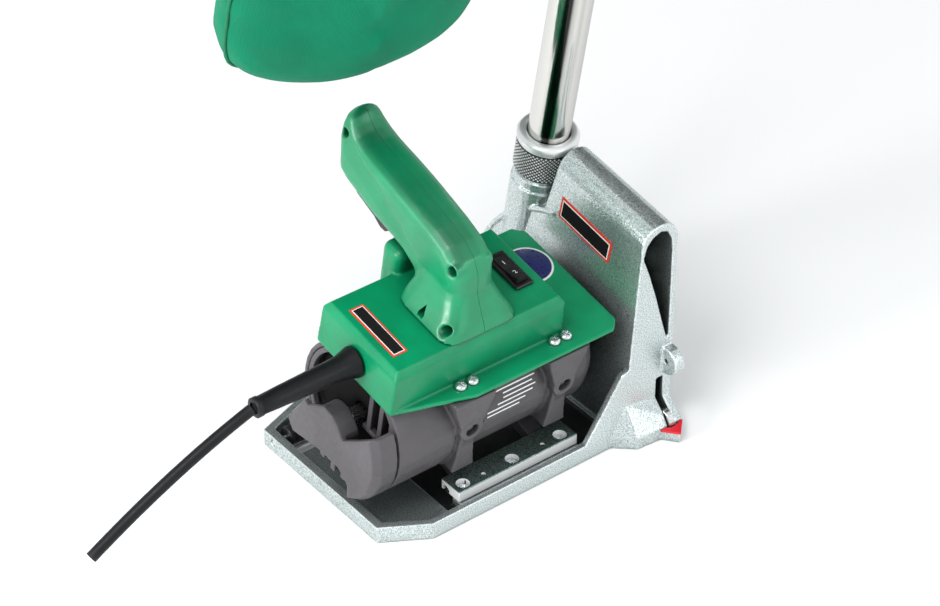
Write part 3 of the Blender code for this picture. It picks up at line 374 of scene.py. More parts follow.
# Black print, and the black disc painted as shade inside the motor's open end.
BLACK_INK_AND_SHADE = moulded("black_print_and_shade", (0.003, 0.003, 0.003), 0.7, shine=0.0)
BLUE = moulded("blue_print", (0.01, 0.015, 0.11), 0.3)
DARK_PANEL = moulded("dark_panel", (0.065, 0.06, 0.066), 0.42)


# ---------------------------------------------------------------- mesh helpers

def to_object(name, bm, matrix, smooth=40.0):
    """The mesh, drawn in millimetres, as a world object."""
    bmesh.ops.transform(bm, matrix=matrix, verts=bm.verts)
    bmesh.ops.recalc_face_normals(bm, faces=bm.faces)
    mesh = bpy.data.meshes.new(name)
    bm.to_mesh(mesh)
    bm.free()
    mesh.shade_smooth()
    mesh.set_sharp_from_angle(angle=math.radians(smooth))
    obj = bpy.data.objects.new(name, mesh)
    bpy.context.scene.collection.objects.link(obj)
    return obj


def settled(obj, smooth=40.0):
    """The object with its modifiers applied."""
    bpy.context.view_layer.update()
    evaluated = obj.evaluated_get(bpy.context.evaluated_depsgraph_get())
    mesh = bpy.data.meshes.new_from_object(evaluated)
    mesh.name = obj.name
    obj.modifiers.clear()
    obj.data = mesh
    mesh.shade_smooth()
    mesh.set_sharp_from_angle(angle=math.radians(smooth))
    return obj


def dress(obj, material, body, *nodes):
    """Gives the piece its material and body, and hides the CAD nodes it stands for."""
    obj.data.materials.clear()
    obj.data.materials.append(material)
    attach(obj, body)
    if nodes:
        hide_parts(*nodes)
    return obj


def lathe(bm, profile, place=(0, 0, 0), turn=None, steps=64):
    """Adds a closed turned shape: profile points are (radius, height)."""
    matrix = Matrix.Translation(place) @ (turn or Matrix())
    rings = []
    for radius, height in profile:
        if radius < 1e-6:
            rings.append([bm.verts.new(matrix @ Vector((0, 0, height)))] * steps)
        else:
            rings.append([bm.verts.new(matrix @ Vector((radius * math.cos(math.tau * i / steps),
                                                        radius * math.sin(math.tau * i / steps), height)))
                          for i in range(steps)])
    closed = profile[0][0] > 1e-6 or profile[-1][0] > 1e-6
    pairs = list(zip(rings, rings[1:])) + ([(rings[-1], rings[0])] if closed else [])
    for low, high in pairs:
        for i in range(steps):
            j = (i + 1) % steps
            corners = []
            for vert in (low[i], low[j], high[j], high[i]):
                if vert not in corners:
                    corners.append(vert)
            if len(corners) > 2:
                bm.faces.new(corners)


def slab(bm, outline, low, high, plane="Z"):
    """Adds a closed flat outline extruded from low to high along the plane's normal."""
    order = {"X": lambda a, b, c: (c, a, b),
             "Y": lambda a, b, c: (a, c, b),
             "Z": lambda a, b, c: (a, b, c)}[plane]
    rows = [[bm.verts.new(order(a, b, level)) for a, b in outline] for level in (low, high)]
    count = len(outline)
    for i in range(count):
        j = (i + 1) % count
        bm.faces.new((rows[0][i], rows[0][j], rows[1][j], rows[1][i]))
    bm.faces.new(rows[0][::-1])
    bm.faces.new(rows[1])


def loft(bm, rings, cap=True):
    rows = [[bm.verts.new(point) for point in ring] for ring in rings]
    count = len(rings[0])
    for low, high in zip(rows, rows[1:]):
        for i in range(count):
            j = (i + 1) % count
            bm.faces.new((low[i], low[j], high[j], high[i]))
    if cap:
        bm.faces.new(rows[0][::-1])
        bm.faces.new(rows[-1])
    return rows


def sweep(bm, points, radius, steps):
    """Adds a round bar along points, with both ends closed."""
    path = [Vector(point) for point in points]
    side = None
    rings = []
    for i, point in enumerate(path):
        ahead = (path[min(i + 1, len(path) - 1)] - path[max(i - 1, 0)]).normalized()
        if side is None:
            side = ahead.orthogonal().normalized()
        side = (side - ahead * side.dot(ahead)).normalized()
        other = ahead.cross(side)
        rings.append([point + (side * math.cos(a) + other * math.sin(a)) * radius
                      for a in (math.tau * k / steps for k in range(steps))])
    loft(bm, rings)


def arc(centre, radius, start, end, steps):
    angles = [math.radians(start + (end - start) * i / steps) for i in range(steps + 1)]
    return [(centre[0] + radius * math.cos(a), centre[1] + radius * math.sin(a)) for a in angles]


def node_copy(node):
    obj = bpy.data.objects.new("helper", NODES[node].data.copy())
    bpy.context.scene.collection.objects.link(obj)
    return obj


def carve(obj, *tools):
    """Cuts the tools out of the object and uses them up."""
    for tool in tools:
        modifier = obj.modifiers.new("cut", "BOOLEAN")
        modifier.object, modifier.solver, modifier.operation = tool, "EXACT", "DIFFERENCE"
    settled(obj)
    for tool in tools:
        bpy.data.objects.remove(tool)
    return obj


def grown(name, parts, voxel, rounds):
    """One moulded or cast form grown over overlapping parts, with its edges and inner corners rounded."""
    bm = bmesh.new()
    for part in parts:
        bm.from_mesh(part.data)
        bpy.data.objects.remove(part)
    obj = to_object(name, bm, Matrix())
    remesh = obj.modifiers.new("grow", "REMESH")
    remesh.mode, remesh.voxel_size = "VOXEL", voxel * MM
    smooth = obj.modifiers.new("round", "SMOOTH")
    smooth.factor, smooth.iterations = 0.5, rounds
    return settled(obj, 180.0)


def cast_piece(name, node, extras, voxel, rounds, material, body):
    return dress(grown(name, [node_copy(node)] + extras, voxel, rounds), material, body, node)


def shape(matrix, build, *args, **options):
    """A helper object made by one of the mesh helpers above."""
    bm = bmesh.new()
    build(bm, *args, **options)
    return to_object("helper", bm, matrix)


# ---------------------------------------------------------------- base

def hood_wall_x(z):
    """Where the blade housing's left wall stands at height z; the wall leans to the right."""
    return 162.0 + (z - 47.0) * 0.0775


def casting():
    """The base casting, with a raised arc on the blade housing's left wall behind the cover."""
    ridge = [(hood_wall_x(z), y, z) for y, z in arc((55.0, 30.0), 84.5, 28, 78, 26)]
    extras = [shape(BASE, sweep, ridge, 1.7, 10)]
    cast_piece("casting_body", "base_casting", extras, 0.7, 2, CASTING, "base")


def name_plate():
    """A blank plate on the blade housing: red border, white line, black field."""
    corners = [(44.5, 99.2), (88.5, 98.7), (89.0, 112.4), (45.0, 112.8)]
    middle = (67.0, 105.7)

    def left_x(v, w):
        return hood_wall_x(v * math.sin(TILT) + w * math.cos(TILT)) - 0.1

    layers = (("hood_plate_border", 0.0, 0.30, BORDER), ("hood_plate_line", 1.4, 0.42, PAPER),
              ("hood_plate_field", 2.1, 0.54, BLACK_INK_AND_SHADE))
    for name, inset, lift, material in layers:
        points = []
        for v, w in corners:
            points.append((v + math.copysign(inset, middle[0] - v), w + math.copysign(inset, middle[1] - w)))
        bm = bmesh.new()
        loft(bm, [[(left_x(v, w) - level, v, w) for v, w in points] for level in (-0.3, lift)])
        dress(to_object(name, bm, UNIT), material, "base")


def blade_cover():
    """The round cover on the blade housing's right side: a raised rim round a sunk field."""
    bm = bmesh.new()
    profile = [(0, 2.2), (35.0, 2.2), (36.0, 1.4), (39.0, 1.4), (40.0, 2.6), (40.8, 3.0), (46.0, 3.0),
               (47.0, 2.0), (47.0, 0.0), (0, 0.0)]
    lathe(bm, profile, (COVER_FACE_X, *ACCESS_CENTRE), TO_X, 96)
    dress(to_object("blade_cover_plate", bm, BASE), CASTING, "base", "blade_access_cover")
    for i in range(3):
        a = math.radians(90 + 120 * i)
        place = (COVER_FACE_X + 3.3, ACCESS_CENTRE[0] + ACCESS_SCREW_R * math.cos(a),
                 ACCESS_CENTRE[1] + ACCESS_SCREW_R * math.sin(a))
        matrix = BASE @ Matrix.Translation(place) @ TO_X @ Matrix.Rotation(0.5 + i, 4, "Z")
        screw_head(f"access_screw_head_{i + 1}", f"access_screw_{i + 1}", matrix, 3.6, 2.2, "cross", ZINC,
                   "base", (1.7, 7.2))


def rolling_parts():
    """Ribbed tyres on the two rear rollers, and the fluted depth knob between them."""
    for side, x in (("left", 16.0), ("right", 142.0)):
        profile = [(1.85, 6.8), (5.3, 6.8), (5.9, 6.2)]
        for middle in (3.4, 0.0, -3.4):
            profile += [(5.9, middle + 0.5), (5.45, middle + 0.3), (5.45, middle - 0.3), (5.9, middle - 0.5)]
        profile += [(5.9, -6.2), (5.3, -6.8), (1.85, -6.8)]
        bm = bmesh.new()
        lathe(bm, profile, (x, 113.0, 6.3), TO_X, 48)
        dress(to_object(f"rear_tyre_{side}", bm, BASE), RUBBER, f"{side}_rear_wheel", f"rear_roller_{side}")
    place = BASE @ Matrix.Translation((100.0, 104.0, 4.2))
    grip = [(r * math.cos(a), r * math.sin(a)) for a, r in
            ((math.tau * i / 144, 8.5 + 0.45 * math.cos(18 * math.tau * i / 144)) for i in range(144))]
    crown = [(0, 8.1), (6.6, 8.1), (8.2, 7.0), (8.2, 1.2), (7.4, 0.3), (2.5, 0.3), (2.5, -3.1), (0, -3.1)]
    parts = [shape(place, slab, grip, 1.2, 7.0), shape(place, lathe, crown)]
    dress(grown("fluted_depth_knob", parts, 0.3, 2), DARK, "depth_adjuster", "depth_knob")


def return_coil():
    """The return spring as round wire. Its foot stays on its seat."""
    turns, sides, radius, height, x, y = 4.5, 32, 5.2, 22.6, 37.5, 103.5
    count = int(turns * sides)
    points = []
    for i in range(count + 1):
        a = math.tau * i / sides
        points.append((x + radius * math.cos(a), y + radius * math.sin(a),
                       SPRING_SEAT_Z + height * i / count))
    bm = bmesh.new()
    sweep(bm, points, 0.8, 12)
    coil = dress(to_object("return_coil", bm, BASE, 60.0), STEEL, "base", "return_spring")
    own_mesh(coil)


def knurled_nut():
    """The clamp nut: a diamond-knurled band below a plain chamfered collar."""
    count, rows = 264, 76
    bm = bmesh.new()
    low, high, radius, depth = 1.0, 19.8, 17.7, 0.8

    def fold(value):
        return 1.0 - abs((value % 1.0) * 2.0 - 1.0)

    rings = [[(14.9, 0.0)] * count, [(16.4, 0.0)] * count]
    for k in range(rows + 1):
        height = low + (high - low) * k / rows
        ring = []
        for i in range(count):
            turn = i / count * 44
            rise = (height - low) / 2.35
            crown = min(fold(turn + rise), fold(turn - rise))
            fade = min(1.0, k / 3, (rows - k) / 3)
            ring.append((radius - depth * (1.0 - crown * fade), height))
        rings.append(ring)
    for r, height in ((16.7, 20.2), (16.7, 20.8), (17.5, 21.1), (17.7, 21.6), (17.7, 24.2), (17.3, 24.9),
                      (16.0, 26.2), (12.7, 26.2), (12.4, 25.9), (12.4, 23.6), (14.9, 23.6)):
        rings.append([(r, height)] * count)
    points = []
    for ring in rings:
        points.append([(r * math.cos(math.tau * i / count), r * math.sin(math.tau * i / count), h)
                       for i, (r, h) in enumerate(ring)])
    rows_made = loft(bm, points, cap=False)
    for i in range(count):
        j = (i + 1) % count
        bm.faces.new((rows_made[-1][i], rows_made[-1][j], rows_made[0][j], rows_made[0][i]))
    nut = to_object("knurled_clamp_nut", bm, UNIT @ Matrix.Translation((TUBE_X, TUBE_V, NUT_LOW)), 50.0)
    groove = nut.data.attributes.new("groove", "FLOAT", "POINT")
    in_knurl = range(2, rows + 3)
    groove.data.foreach_set("value", [max(0.0, radius - r) / depth if k in in_knurl else 0.0
                                      for k, ring in enumerate(rings) for r, _ in ring])
    dress(nut, KNURL, "duct_nut", "clamp_nut")


# ---------------------------------------------------------------- dust duct

def tube_path(steps, start, end):
    turn = [(TUBE_X - BEND_R + BEND_R * math.cos(a), TUBE_V, BEND_W + (BEND_R - BEND_DROP) * math.sin(a))
            for a in (math.pi * i / steps for i in range(steps + 1))]
    return [(TUBE_X, TUBE_V, start)] + turn + [(BAG_X, TUBE_V, end)]


def polished_tube():
    bm = bmesh.new()
    sweep(bm, tube_path(48, 104.2, TUBE_END_W), TUBE_R, 64)
    tube = to_object("polished_dust_tube", bm, UNIT)
    dress(tube, CHROME, "duct", "dust_tube")


def bag_rings(rings, count):
    """The bag's outer skin from the neck down, a little smaller than it ends up."""
    rows = ((0, 0, 13.8, 13.8, 12), (0, 0, 13.8, 13.8, -3), (1, 3, 32, 24, -20), (4, 8, 55, 33, -46),
            (10, 15, 70, 41, -90), (15, 21, 75, 45, -128), (18, 25, 74, 44, -161), (15, 27, 61, 36, -175))
    result = []
    for k in range(rings):
        place = k / (rings - 1) * (len(rows) - 1)
        i = min(int(place), len(rows) - 2)
        t = place - i
        before, here, there, after = (rows[max(0, min(len(rows) - 1, i + d))] for d in (-1, 0, 1, 2))
        values = []
        for a, b, c, d in zip(before, here, there, after):
            values.append(0.5 * (2 * b + (c - a) * t + (2 * a - 5 * b + 4 * c - d) * t * t
                                 + (3 * b - a - 3 * c + d) * t ** 3))
        dx, dv, half_x, half_v, dw = values
        result.append([(BAG_X + dx + half_x * math.cos(a), TUBE_V + dv + half_v * math.sin(a),
                        TUBE_END_W + dw) for a in (math.tau * i / count for i in range(count))])
    return result


def dust_bag():
    """The cloth bag: inflated a little by simulation, then gathered at the neck and creased below it."""
    bm = bmesh.new()
    loft(bm, bag_rings(BAG_RINGS, BAG_SIDES))
    bag = to_object("filter_bag", bm, UNIT, 180.0)
    remesh = bag.modifiers.new("even", "REMESH")
    remesh.mode, remesh.voxel_size = "VOXEL", BAG_VOXEL * MM
    settled(bag, 180.0)
    rest = np.array([v.co for v in bag.data.vertices])
    neck = (UNIT @ Vector((BAG_X, TUBE_V, TUBE_END_W - 6.0))).z
    group = bag.vertex_groups.new(name="held")
    group.add([v.index for v in bag.data.vertices if v.co.z > neck], 1.0, "REPLACE")
    cloth = bag.modifiers.new("cloth", "CLOTH")
    cloth.settings.effector_weights.gravity = 0.0
    cloth.settings.use_pressure = True
    cloth.settings.uniform_pressure_force = BAG_PRESSURE
    cloth.settings.vertex_group_mass = "held"
    cloth.settings.tension_stiffness = cloth.settings.compression_stiffness = 8.0
    cloth.settings.bending_stiffness = 0.3
    scene = bpy.context.scene
    scene.frame_start, scene.frame_end = 1, BAG_FRAMES
    for number in range(1, BAG_FRAMES + 1):
        scene.frame_set(number)
    settled(bag, 180.0)
    scene.frame_set(1)
    moved = np.array([v.co for v in bag.data.vertices])
    if len(moved) == len(rest):
        step = moved - rest
        length = np.linalg.norm(step, axis=1, keepdims=True)
        moved = rest + step * np.minimum(1.0, BAG_REACH * MM / np.maximum(length, 1e-9))
        bag.data.vertices.foreach_set("co", moved.ravel())
    subdivision = bag.modifiers.new("fine", "SUBSURF")
    subdivision.levels = subdivision.render_levels = 2
    settled(bag, 180.0)
    axis = UNIT @ Vector((BAG_X, TUBE_V, TUBE_END_W))
    for vertex in bag.data.vertices:
        fall = (axis.z - vertex.co.z) / MM
        around = math.atan2(vertex.co.y - axis.y, vertex.co.x - axis.x)
        outward = Vector((math.cos(around), math.sin(around), 0.0))
        gather = 1.6 * math.exp(-((fall - 14.0) / 22.0) ** 2) * math.sin(around * 17 + math.sin(around * 5))
        crease = noise.noise(vertex.co * 22.0) * 3.6 + noise.noise(vertex.co * 60.0) * 1.2
        crease += (0.5 - abs(noise.noise(vertex.co * 34.0))) * 3.2
        sag = crease * min(1.0, max(0.0, (fall - 12.0) / 40.0))
        vertex.co += outward * (gather + sag - 1.2) * MM
    dress(bag, FABRIC, "duct", "dust_bag")
    bag_seams(bag)


def bag_band():
    """The hose clamp on the bag's neck: a rolled band and the housing of its screw."""
    place = UNIT @ Matrix.Translation((BAG_X, TUBE_V, TUBE_END_W))
    bm = bmesh.new()
    band = [(14.7, 8.0), (15.6, 8.0), (16.2, 7.5), (15.5, 6.8), (15.5, 2.2), (16.2, 1.5), (15.6, 1.0),
            (14.7, 1.0)]
    lathe(bm, band, steps=80)
    for i in range(40):
        a = math.tau * i / 40
        turn = Matrix.Rotation(a, 4, "Z") @ Matrix.Translation((15.55, 0, 4.5))
        bmesh.ops.create_cube(bm, size=1.0, matrix=turn @ Matrix.Diagonal((0.35, 0.9, 3.2, 1.0)))
    dress(to_object("bag_hose_clamp", bm, place), ZINC, "duct", "bag_clamp")
    block = [(-4.0, -17.2), (4.0, -17.2), (5.0, -15.2), (-5.0, -15.2)]
    parts = [shape(place, slab, block, 0.8, 8.2),
             shape(place, lathe, [(0, 6.0), (2.6, 6.0), (2.6, -6.0), (0, -6.0)], (0, -17.6, 4.5), TO_X, 32)]
    dress(grown("bag_clamp_housing", parts, 0.35, 2), ZINC, "duct")


def bag_seams(bag):
    """The piped seams down both sides of the bag, laid on its finished skin."""
    bpy.context.view_layer.update()
    rings = bag_rings(BAG_RINGS, BAG_SIDES)
    for name, column in (("bag_seam_left", BAG_SIDES // 2), ("bag_seam_right", 0)):
        path = []
        for ring in rings[7:]:
            _, place, normal, _ = bag.closest_point_on_mesh(UNIT @ Vector(ring[column]))
            path.append(place + normal * 0.5 * MM)
        bm = bmesh.new()
        sweep(bm, path, 1.3 * MM, 10)
        dress(to_object(name, bm, Matrix()), THREAD, "duct")


# ---------------------------------------------------------------- motor

def housing():
    """The motor's shell with its screw lugs, each a wide block that narrows to a boss with a rib below it,
    and the end cap with three fins under its bearing bridge."""
    extras = []
    for x in LUG_XS:
        spoon = [(x - 13.5, 77.0), (x + 13.5, 77.0), (x + 12.5, 72.0)] + arc((x, 53.5), 7.6, 20, -200, 12)
        block = shape(UNIT, slab, spoon + [(x - 12.5, 72.0)], 16.4, 34.0, "Y")
        rib = [(x - 4.4, 50.0), (x + 4.4, 50.0), (x + 6.0, 30.0), (x + 7.5, 20.0), (x - 7.5, 20.0),
               (x - 6.0, 30.0)]
        rib = shape(UNIT, slab, rib, 19.0, 35.0, "Y")
        for part in (block, rib):
            bore = [(0, 60.0), (38.4, 60.0), (38.4, -60.0), (0, -60.0)]
            drill = [(0, 0.0), (4.3, 0.0), (4.3, 8.0), (0, 8.0)]
            tools = [shape(UNIT, lathe, bore, (x, MOTOR_V, MOTOR_W), TO_X, 64),
                     shape(UNIT, lathe, drill, (x, 22.2, 53.5), TO_FRONT, 32)]
            extras.append(carve(part, *tools))
    cast_piece("motor_shell", "motor_housing", extras, 0.7, 4, GREY, "motor_unit")
    fins = []
    for v, low in ((4.0, -27.0), (-5.5, -29.0), (-14.5, -28.0)):
        fin = [(MOTOR_V + v - 1.9, MOTOR_W + low), (MOTOR_V + v + 1.9, MOTOR_W + low),
               (MOTOR_V + v + 1.9, MOTOR_W - 17.0), (MOTOR_V + v - 1.9, MOTOR_W - 17.0)]
        fins.append(shape(UNIT, slab, fin, -1.0, 7.0, "X"))
    cast_piece("motor_end_cap", "end_cap", fins, 0.55, 3, GREY, "motor_unit")


def vent_grille():
    """Upright bars behind the bearing bridge, before a black disc inside the shell's open end that stands for
    the shade there.
    """
    rim = [(40.4, 17.0), (40.4, 13.3), (37.2, 13.3), (37.2, 17.0)]
    parts = [shape(UNIT, lathe, rim, (0, MOTOR_V, MOTOR_W), TO_X)]
    for offset in (-32.0, -23.0, -14.0):
        reach = math.sqrt(38.6 ** 2 - offset ** 2)
        bar = [(MOTOR_V + offset - 1.7, MOTOR_W + 2.0), (MOTOR_V + offset + 1.7, MOTOR_W + 2.0),
               (MOTOR_V + offset + 1.7, MOTOR_W + reach), (MOTOR_V + offset - 1.7, MOTOR_W + reach)]
        parts.append(shape(UNIT, slab, bar, 13.3, 19.0, "X"))
    foot = [(MOTOR_V - 36.5, MOTOR_W + 0.5), (MOTOR_V - 9.0, MOTOR_W + 0.5), (MOTOR_V - 9.0, MOTOR_W + 3.5),
            (MOTOR_V - 36.5, MOTOR_W + 3.5)]
    parts.append(shape(UNIT, slab, foot, 13.3, 17.0, "X"))
    dress(grown("vent_grille", parts, 0.5, 2), GREY, "motor_unit")
    # Painted shade: a black disc darkens the shell's open end.
    bm = bmesh.new()
    lathe(bm, [(38.0, 21.4), (38.0, 20.2), (6.5, 20.2), (6.5, 21.4)], (0, MOTOR_V, MOTOR_W), TO_X)
    dress(to_object("vent_shade_disc", bm, UNIT), BLACK_INK_AND_SHADE, "motor_unit")


def rating_plate():
    """A printed panel on the housing's front, with plain bars in place of words."""
    bm = bmesh.new()
    curved_patch(bm, 71.0, 108.0, -178.0, -148.0, 41.75)
    dress(to_object("rating_panel", bm, UNIT), DARK_PANEL, "motor_unit")
    bars = ((73.0, 95.0), (73.0, 99.0), (80.0, 104.0), (84.0, 106.0), (84.0, 104.0), (73.0, 106.0),
            (73.0, 104.0))
    for i, (x0, x1) in enumerate(bars):
        bm = bmesh.new()
        top = -175.5 + i * 3.9
        curved_patch(bm, x0, x1, top, top + 1.1, 41.9)
        dress(to_object(f"rating_bar_{i + 1}", bm, UNIT), PAPER, "motor_unit")


def curved_patch(bm, x0, x1, a0, a1, radius):
    """A thin curved sheet on a cylinder about the motor axis. Angles are from +v towards -w."""
    steps = max(2, int(abs(a1 - a0) / 1.5))
    inner, outer = [], []
    for ring, r in ((inner, radius - 0.6), (outer, radius)):
        for i in range(steps + 1):
            a = math.radians(a0 + (a1 - a0) * i / steps)
            ring.append((MOTOR_V + r * math.cos(a), MOTOR_W - r * math.sin(a)))
    outline = outer + inner[::-1]
    loft(bm, [[(x, v, w) for v, w in outline] for x in (x0, x1)])


# ---------------------------------------------------------------- cover, handle and controls

def cover():
    cast_piece("cover_moulding", "motor_cover", [], 0.7, 6, GREEN, "motor_unit")
    x0, v0, x1, v1 = 18.5, 43.0, 27.7, 82.7
    layers = (("cover_label_border", 0.0, 0.22, BORDER), ("cover_label_line", 1.0, 0.32, PAPER),
              ("cover_label_field", 1.5, 0.42, BLACK_INK_AND_SHADE))
    for name, inset, high, material in layers:
        points = [(x0 + inset, v0 + inset), (x1 - inset, v0 + inset), (x1 - inset, v1 - inset),
                  (x0 + inset, v1 - inset)]
        bm = bmesh.new()
        slab(bm, points, COVER_TOP - 0.3, COVER_TOP + high)
        dress(to_object(name, bm, UNIT), material, "motor_unit")
    discs = (("flange_disc_rim", 14.0, 0.25, PAPER), ("flange_disc", 12.8, 0.4, BLUE))
    for name, radius, high, material in discs:
        bm = bmesh.new()
        lathe(bm, [(0, high), (radius - 0.2, high), (radius, high - 0.1), (radius, -0.3), (0, -0.3)],
              (142.0, 80.0, 80.0), None, 64)
        dress(to_object(name, bm, UNIT), material, "motor_unit")


def handle():
    """Both halves of the grip are rounded as one form and then parted, so that the joint stays crisp."""
    joint = (BASE @ Vector((GRIP_X, 0, 0))).x
    parts = []
    for side, sign in (("left", -1.0), ("right", 1.0)):
        half = node_copy(f"handle_{side}")
        for vert in half.data.vertices:
            if abs(vert.co.x - joint) < 0.3 * MM:
                vert.co.x -= sign * 0.7 * MM
        parts.append(half)
    whole = grown("grip", parts, 0.6, 26)
    to_unit = UNIT.inverted()
    for vert in whole.data.vertices:
        x, v, w = to_unit @ vert.co
        height = min(1.0, max(0.0, (w - HORN_LOW) / HORN_HEIGHT))
        fall = HORN_CROWN * height * height * ((x - GRIP_X) / HORN_HALF_WIDTH) ** 2
        vert.co = UNIT @ Vector((x, v, w - fall))
    teardrop = [(56.0, 109.5), (60.0, 109.5), (60.4, 111.5), (58.0, 116.5), (55.6, 111.5)]
    carve(whole, shape(UNIT, slab, teardrop, 40.0, 52.5, "X"))
    for side, sign in (("left", -1.0), ("right", 1.0)):
        bm = bmesh.new()
        bm.from_mesh(whole.data)
        plane = joint + sign * 0.12 * MM
        everything = bm.verts[:] + bm.edges[:] + bm.faces[:]
        result = bmesh.ops.bisect_plane(bm, geom=everything, plane_co=(plane, 0, 0), plane_no=(1, 0, 0),
                                        clear_outer=sign < 0, clear_inner=sign > 0)
        rim = [item for item in result["geom_cut"] if isinstance(item, bmesh.types.BMEdge)]
        bmesh.ops.triangle_fill(bm, edges=rim, use_beauty=True)
        dress(to_object(f"grip_{side}", bm, Matrix(), 50.0), GRIP, "motor_unit", f"handle_{side}")
    bpy.data.objects.remove(whole)


def lead():
    """The rubber boot, and the mains lead cut off where it would run on."""
    bm = bmesh.new()
    profile = [(0, 2.4), (5.1, 2.4), (5.1, -0.3), (9.0, -0.3), (9.0, -1.6), (8.2, -4.0), (7.0, -9.0),
               (6.6, -14.0), (6.2, -30.0), (5.6, -50.0), (5.2, -60.0), (5.7, -60.6), (5.7, -63.6),
               (5.3, -64.0), (3.4, -64.0), (3.3, -63.0), (0, -63.0)]
    lathe(bm, profile, (10.0, 63.7, 90.0), TO_X, 48)
    dress(to_object("lead_boot", bm, UNIT, 50.0), RUBBER, "motor_unit", "cable_boot")
    points = []
    for i in range(41):
        t = i / 40
        points.append((-55.3 - 98.0 * t, 63.7 - 4.0 * t, 90.0 - 34.0 * t - 18.0 * t * t))
    bm = bmesh.new()
    sweep(bm, points, 3.2, 32)
    dress(to_object("mains_lead", bm, UNIT), RUBBER, "motor_unit", "power_cable")


def screw_head(name, node, matrix, radius, height, recess, material, body, shank):
    """A pan head with a cross or hexagon recess on a plain shank. The head's seat is at 0 on its axis."""
    bm = bmesh.new()
    shank_radius, depth = shank
    dome = [(0, height), (radius * 0.45, height - 0.05), (radius * 0.8, height * 0.82),
            (radius, height * 0.45), (radius, 0.0), (shank_radius, 0.0), (shank_radius, -depth), (0, -depth)]
    lathe(bm, dome, steps=40)
    obj = to_object(name, bm, matrix)
    tools = []
    if recess == "cross":
        arm, half = radius * 0.62, radius * 0.13
        for low, high in (((-arm, -half), (arm, half)), ((-half, -arm), (half, arm))):
            box = [(low[0], low[1]), (high[0], low[1]), (high[0], high[1]), (low[0], high[1])]
            tools.append(shape(matrix, slab, box, height * 0.35, height + 1.0))
    else:
        angles = [math.tau * i / 6 for i in range(6)]
        hexagon = [(radius * 0.5 * math.cos(a), radius * 0.5 * math.sin(a)) for a in angles]
        tools.append(shape(matrix, slab, hexagon, height * 0.3, height + 1.0))
    carve(obj, *tools)
    dress(obj, material, body, node)


def screws():
    for i, (x, v) in enumerate(((53.6, 26.4), (61.6, 26.4), (117.4, 26.4), (125.4, 26.4))):
        turn = Matrix.Rotation(0.3 + i * 1.1, 4, "Z")
        matrix = UNIT @ Matrix.Translation((x, v, 80.3)) @ turn
        screw_head(f"cover_screw_head_{i + 1}", f"cover_screw_{i + 1}", matrix, 3.3, 2.2, "cross", ZINC,
                   "motor_unit", (1.8, 8.2))
    for i, x in enumerate(LUG_XS):
        matrix = UNIT @ Matrix.Translation((x, 20.8, 53.5)) @ TO_FRONT @ Matrix.Rotation(0.4 + i, 4, "Z")
        screw_head(f"lug_screw_head_{i + 1}", f"housing_screw_{i + 1}", matrix, 3.4, 2.4, "cross", ZINC,
                   "motor_unit", (1.8, 3.0))
    for i, x in enumerate((56.5, 90.6, 124.3)):
        matrix = BASE @ Matrix.Translation((x, 13.5, 10.5)) @ Matrix.Rotation(i, 4, "Z")
        screw_head(f"bar_screw_head_{i + 1}", f"hinge_bar_screw_{i + 1}", matrix, 3.6, 1.6, "hex", ZINC,
                   "base", (1.8, 9.0))


def switch_marks():
    """The digits on the speed rocker, laid on its two slopes."""
    rocker = NODES["speed_rocker"]
    bpy.context.view_layer.update()
    to_local = rocker.matrix_world.inverted()
    along, up = ((UNIT.to_3x3() @ Vector(axis)).normalized() for axis in ((0, 1, 0), (0, 0, 1)))
    for digit, v in (("1", 67.2), ("2", 57.4)):
        above = to_local @ (UNIT @ Vector((ROCKER_X, v, 130.0)))
        found, place, normal, _ = rocker.ray_cast(above, to_local.to_3x3() @ -up)
        if not found:
            raise RuntimeError(f"no rocker surface below digit {digit}")
        normal = (rocker.matrix_world.to_3x3() @ normal).normalized()
        top = (along - normal * along.dot(normal)).normalized()
        frame_axes = Matrix((top.cross(normal), top, normal)).transposed().to_4x4()
        curve = bpy.data.curves.new(f"rocker_digit_{digit}", "FONT")
        curve.body = digit
        curve.size, curve.extrude = 4.0, 0.12
        curve.align_x, curve.align_y = "CENTER", "CENTER"
        text = bpy.data.objects.new(f"rocker_digit_{digit}", curve)
        bpy.context.scene.collection.objects.link(text)
        text.matrix_world = (Matrix.Translation(rocker.matrix_world @ place) @ frame_axes
                             @ Matrix.Scale(MM, 4))
        bpy.context.view_layer.update()
        mesh = bpy.data.meshes.new_from_object(text)
        mesh.transform(text.matrix_world)
        solid = bpy.data.objects.new(f"rocker_mark_{digit}", mesh)
        bpy.data.objects.remove(text)
        bpy.context.scene.collection.objects.link(solid)
        dress(solid, PAPER, "speed_dial")


MATERIALS = {
    "hinge_bar": BAR, "pointer_plate": RED, "commutator": COPPER, "stator": DARK, "armature_core": DARK,
    "collet_ring": BLACK, "brush_holder_front": BLACK, "brush_holder_rear": BLACK, "trigger": BLACK,
    "cooling_fan": BLACK, "lock_button": BLACK, "switch_body": BLACK, "speed_rocker": BLACK,
    "handle_screw_1": DARK, "handle_screw_2": DARK, "handle_screw_3": DARK}


def dress_nodes():
    """Every CAD node that stays visible gets a procedural material and small rounded edges."""
    for name, node in NODES.items():
        if node.hide_render:
            continue
        node.data.materials.clear()
        node.data.materials.append(MATERIALS.get(name, STEEL))
        node.data.shade_smooth()
        node.data.set_sharp_from_angle(angle=math.radians(35))


def stage():
    bm = bmesh.new()
    bmesh.ops.create_grid(bm, x_segments=1, y_segments=1, size=6.0)
    floor = to_object("studio_floor", bm, Matrix.Translation((0, 0, -0.0003)))
    look = Look("studio_floor", (0.93, 0.93, 0.925), 0.9)
    look.roughness(look.remap(look.noise(3.0), 0.3, 0.7, 0.85, 0.95))
    floor.data.materials.append(look.material)


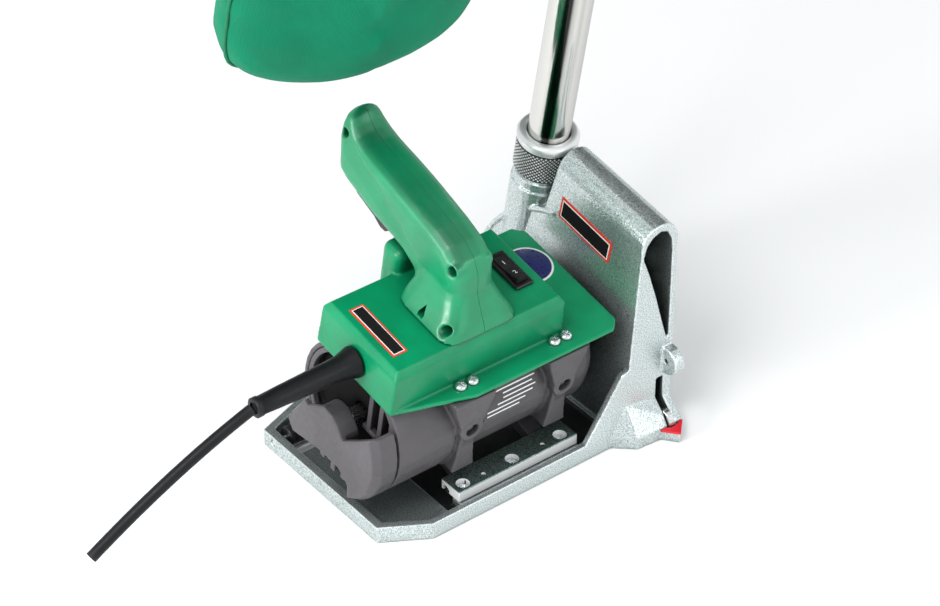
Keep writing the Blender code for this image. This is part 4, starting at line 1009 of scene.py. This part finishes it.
def area(name, place, target, size, power):
    data = bpy.data.lights.new(name, "AREA")
    data.shape, data.energy = "RECTANGLE", power
    data.size, data.size_y = size
    lamp = bpy.data.objects.new(name, data)
    bpy.context.scene.collection.objects.link(lamp)
    lamp.location = place
    lamp.rotation_euler = (Vector(target) - Vector(place)).to_track_quat("-Z", "Y").to_euler()


def sky(tree):
    """A bright dome with a dark card behind and above the object, which gives the metal its contrast."""
    def node(kind, **options):
        made = tree.nodes.new(kind)
        for key, value in options.items():
            setattr(made, key, value)
        return made
    place = node("ShaderNodeTexCoord")
    facing = node("ShaderNodeVectorMath", operation="DOT_PRODUCT")
    tree.links.new(place.outputs["Generated"], facing.inputs[0])
    facing.inputs[1].default_value = Vector((0.47, 0.60, 0.65)).normalized()
    ramp = node("ShaderNodeMapRange", interpolation_type="SMOOTHSTEP")
    tree.links.new(facing.outputs["Value"], ramp.inputs[0])
    for slot, value in zip(range(1, 5), (0.74, 0.92, 0.95, 0.03)):
        ramp.inputs[slot].default_value = value
    background = tree.nodes["Background"]
    background.inputs["Color"].default_value = (0.95, 0.975, 1.0, 1)
    tree.links.new(ramp.outputs[0], background.inputs["Strength"])


def studio():
    """The world, the three lights and the camera."""
    scene = bpy.context.scene
    world = bpy.data.worlds.new("studio")
    scene.world = world
    world.use_nodes = True
    sky(world.node_tree)
    area("key", (-1.0, -0.3, 1.5), (0, 0.05, 0.1), (0.7, 0.7), 14.0)
    area("side", (-1.5, 0.15, 0.5), (-0.05, 0.05, 0.12), (0.35, 0.5), 15.0)
    area("fill", (0.5, -1.4, 0.7), (0.05, 0.05, 0.1), (0.8, 0.8), 5.0)
    camera = bpy.data.cameras.new("camera")
    camera.lens, camera.sensor_width = CAMERA_LENS, 36.0
    camera.clip_start = 0.05
    viewer = bpy.data.objects.new("camera", camera)
    scene.collection.objects.link(viewer)
    viewer.location = CAMERA_PLACE
    level = math.cos(CAMERA_FALL)
    ahead = Vector((-math.sin(CAMERA_HEADING) * level, math.cos(CAMERA_HEADING) * level,
                    -math.sin(CAMERA_FALL)))
    viewer.rotation_euler = ahead.to_track_quat("-Z", "Y").to_euler()
    scene.camera = viewer
    scene.view_settings.view_transform = "Standard"


casting()
name_plate()
blade_cover()
rolling_parts()
return_coil()
knurled_nut()
polished_tube()
dust_bag()
bag_band()
housing()
vent_grille()
rating_plate()
cover()
handle()
lead()
screws()
switch_marks()
dress_nodes()
stage()
studio()
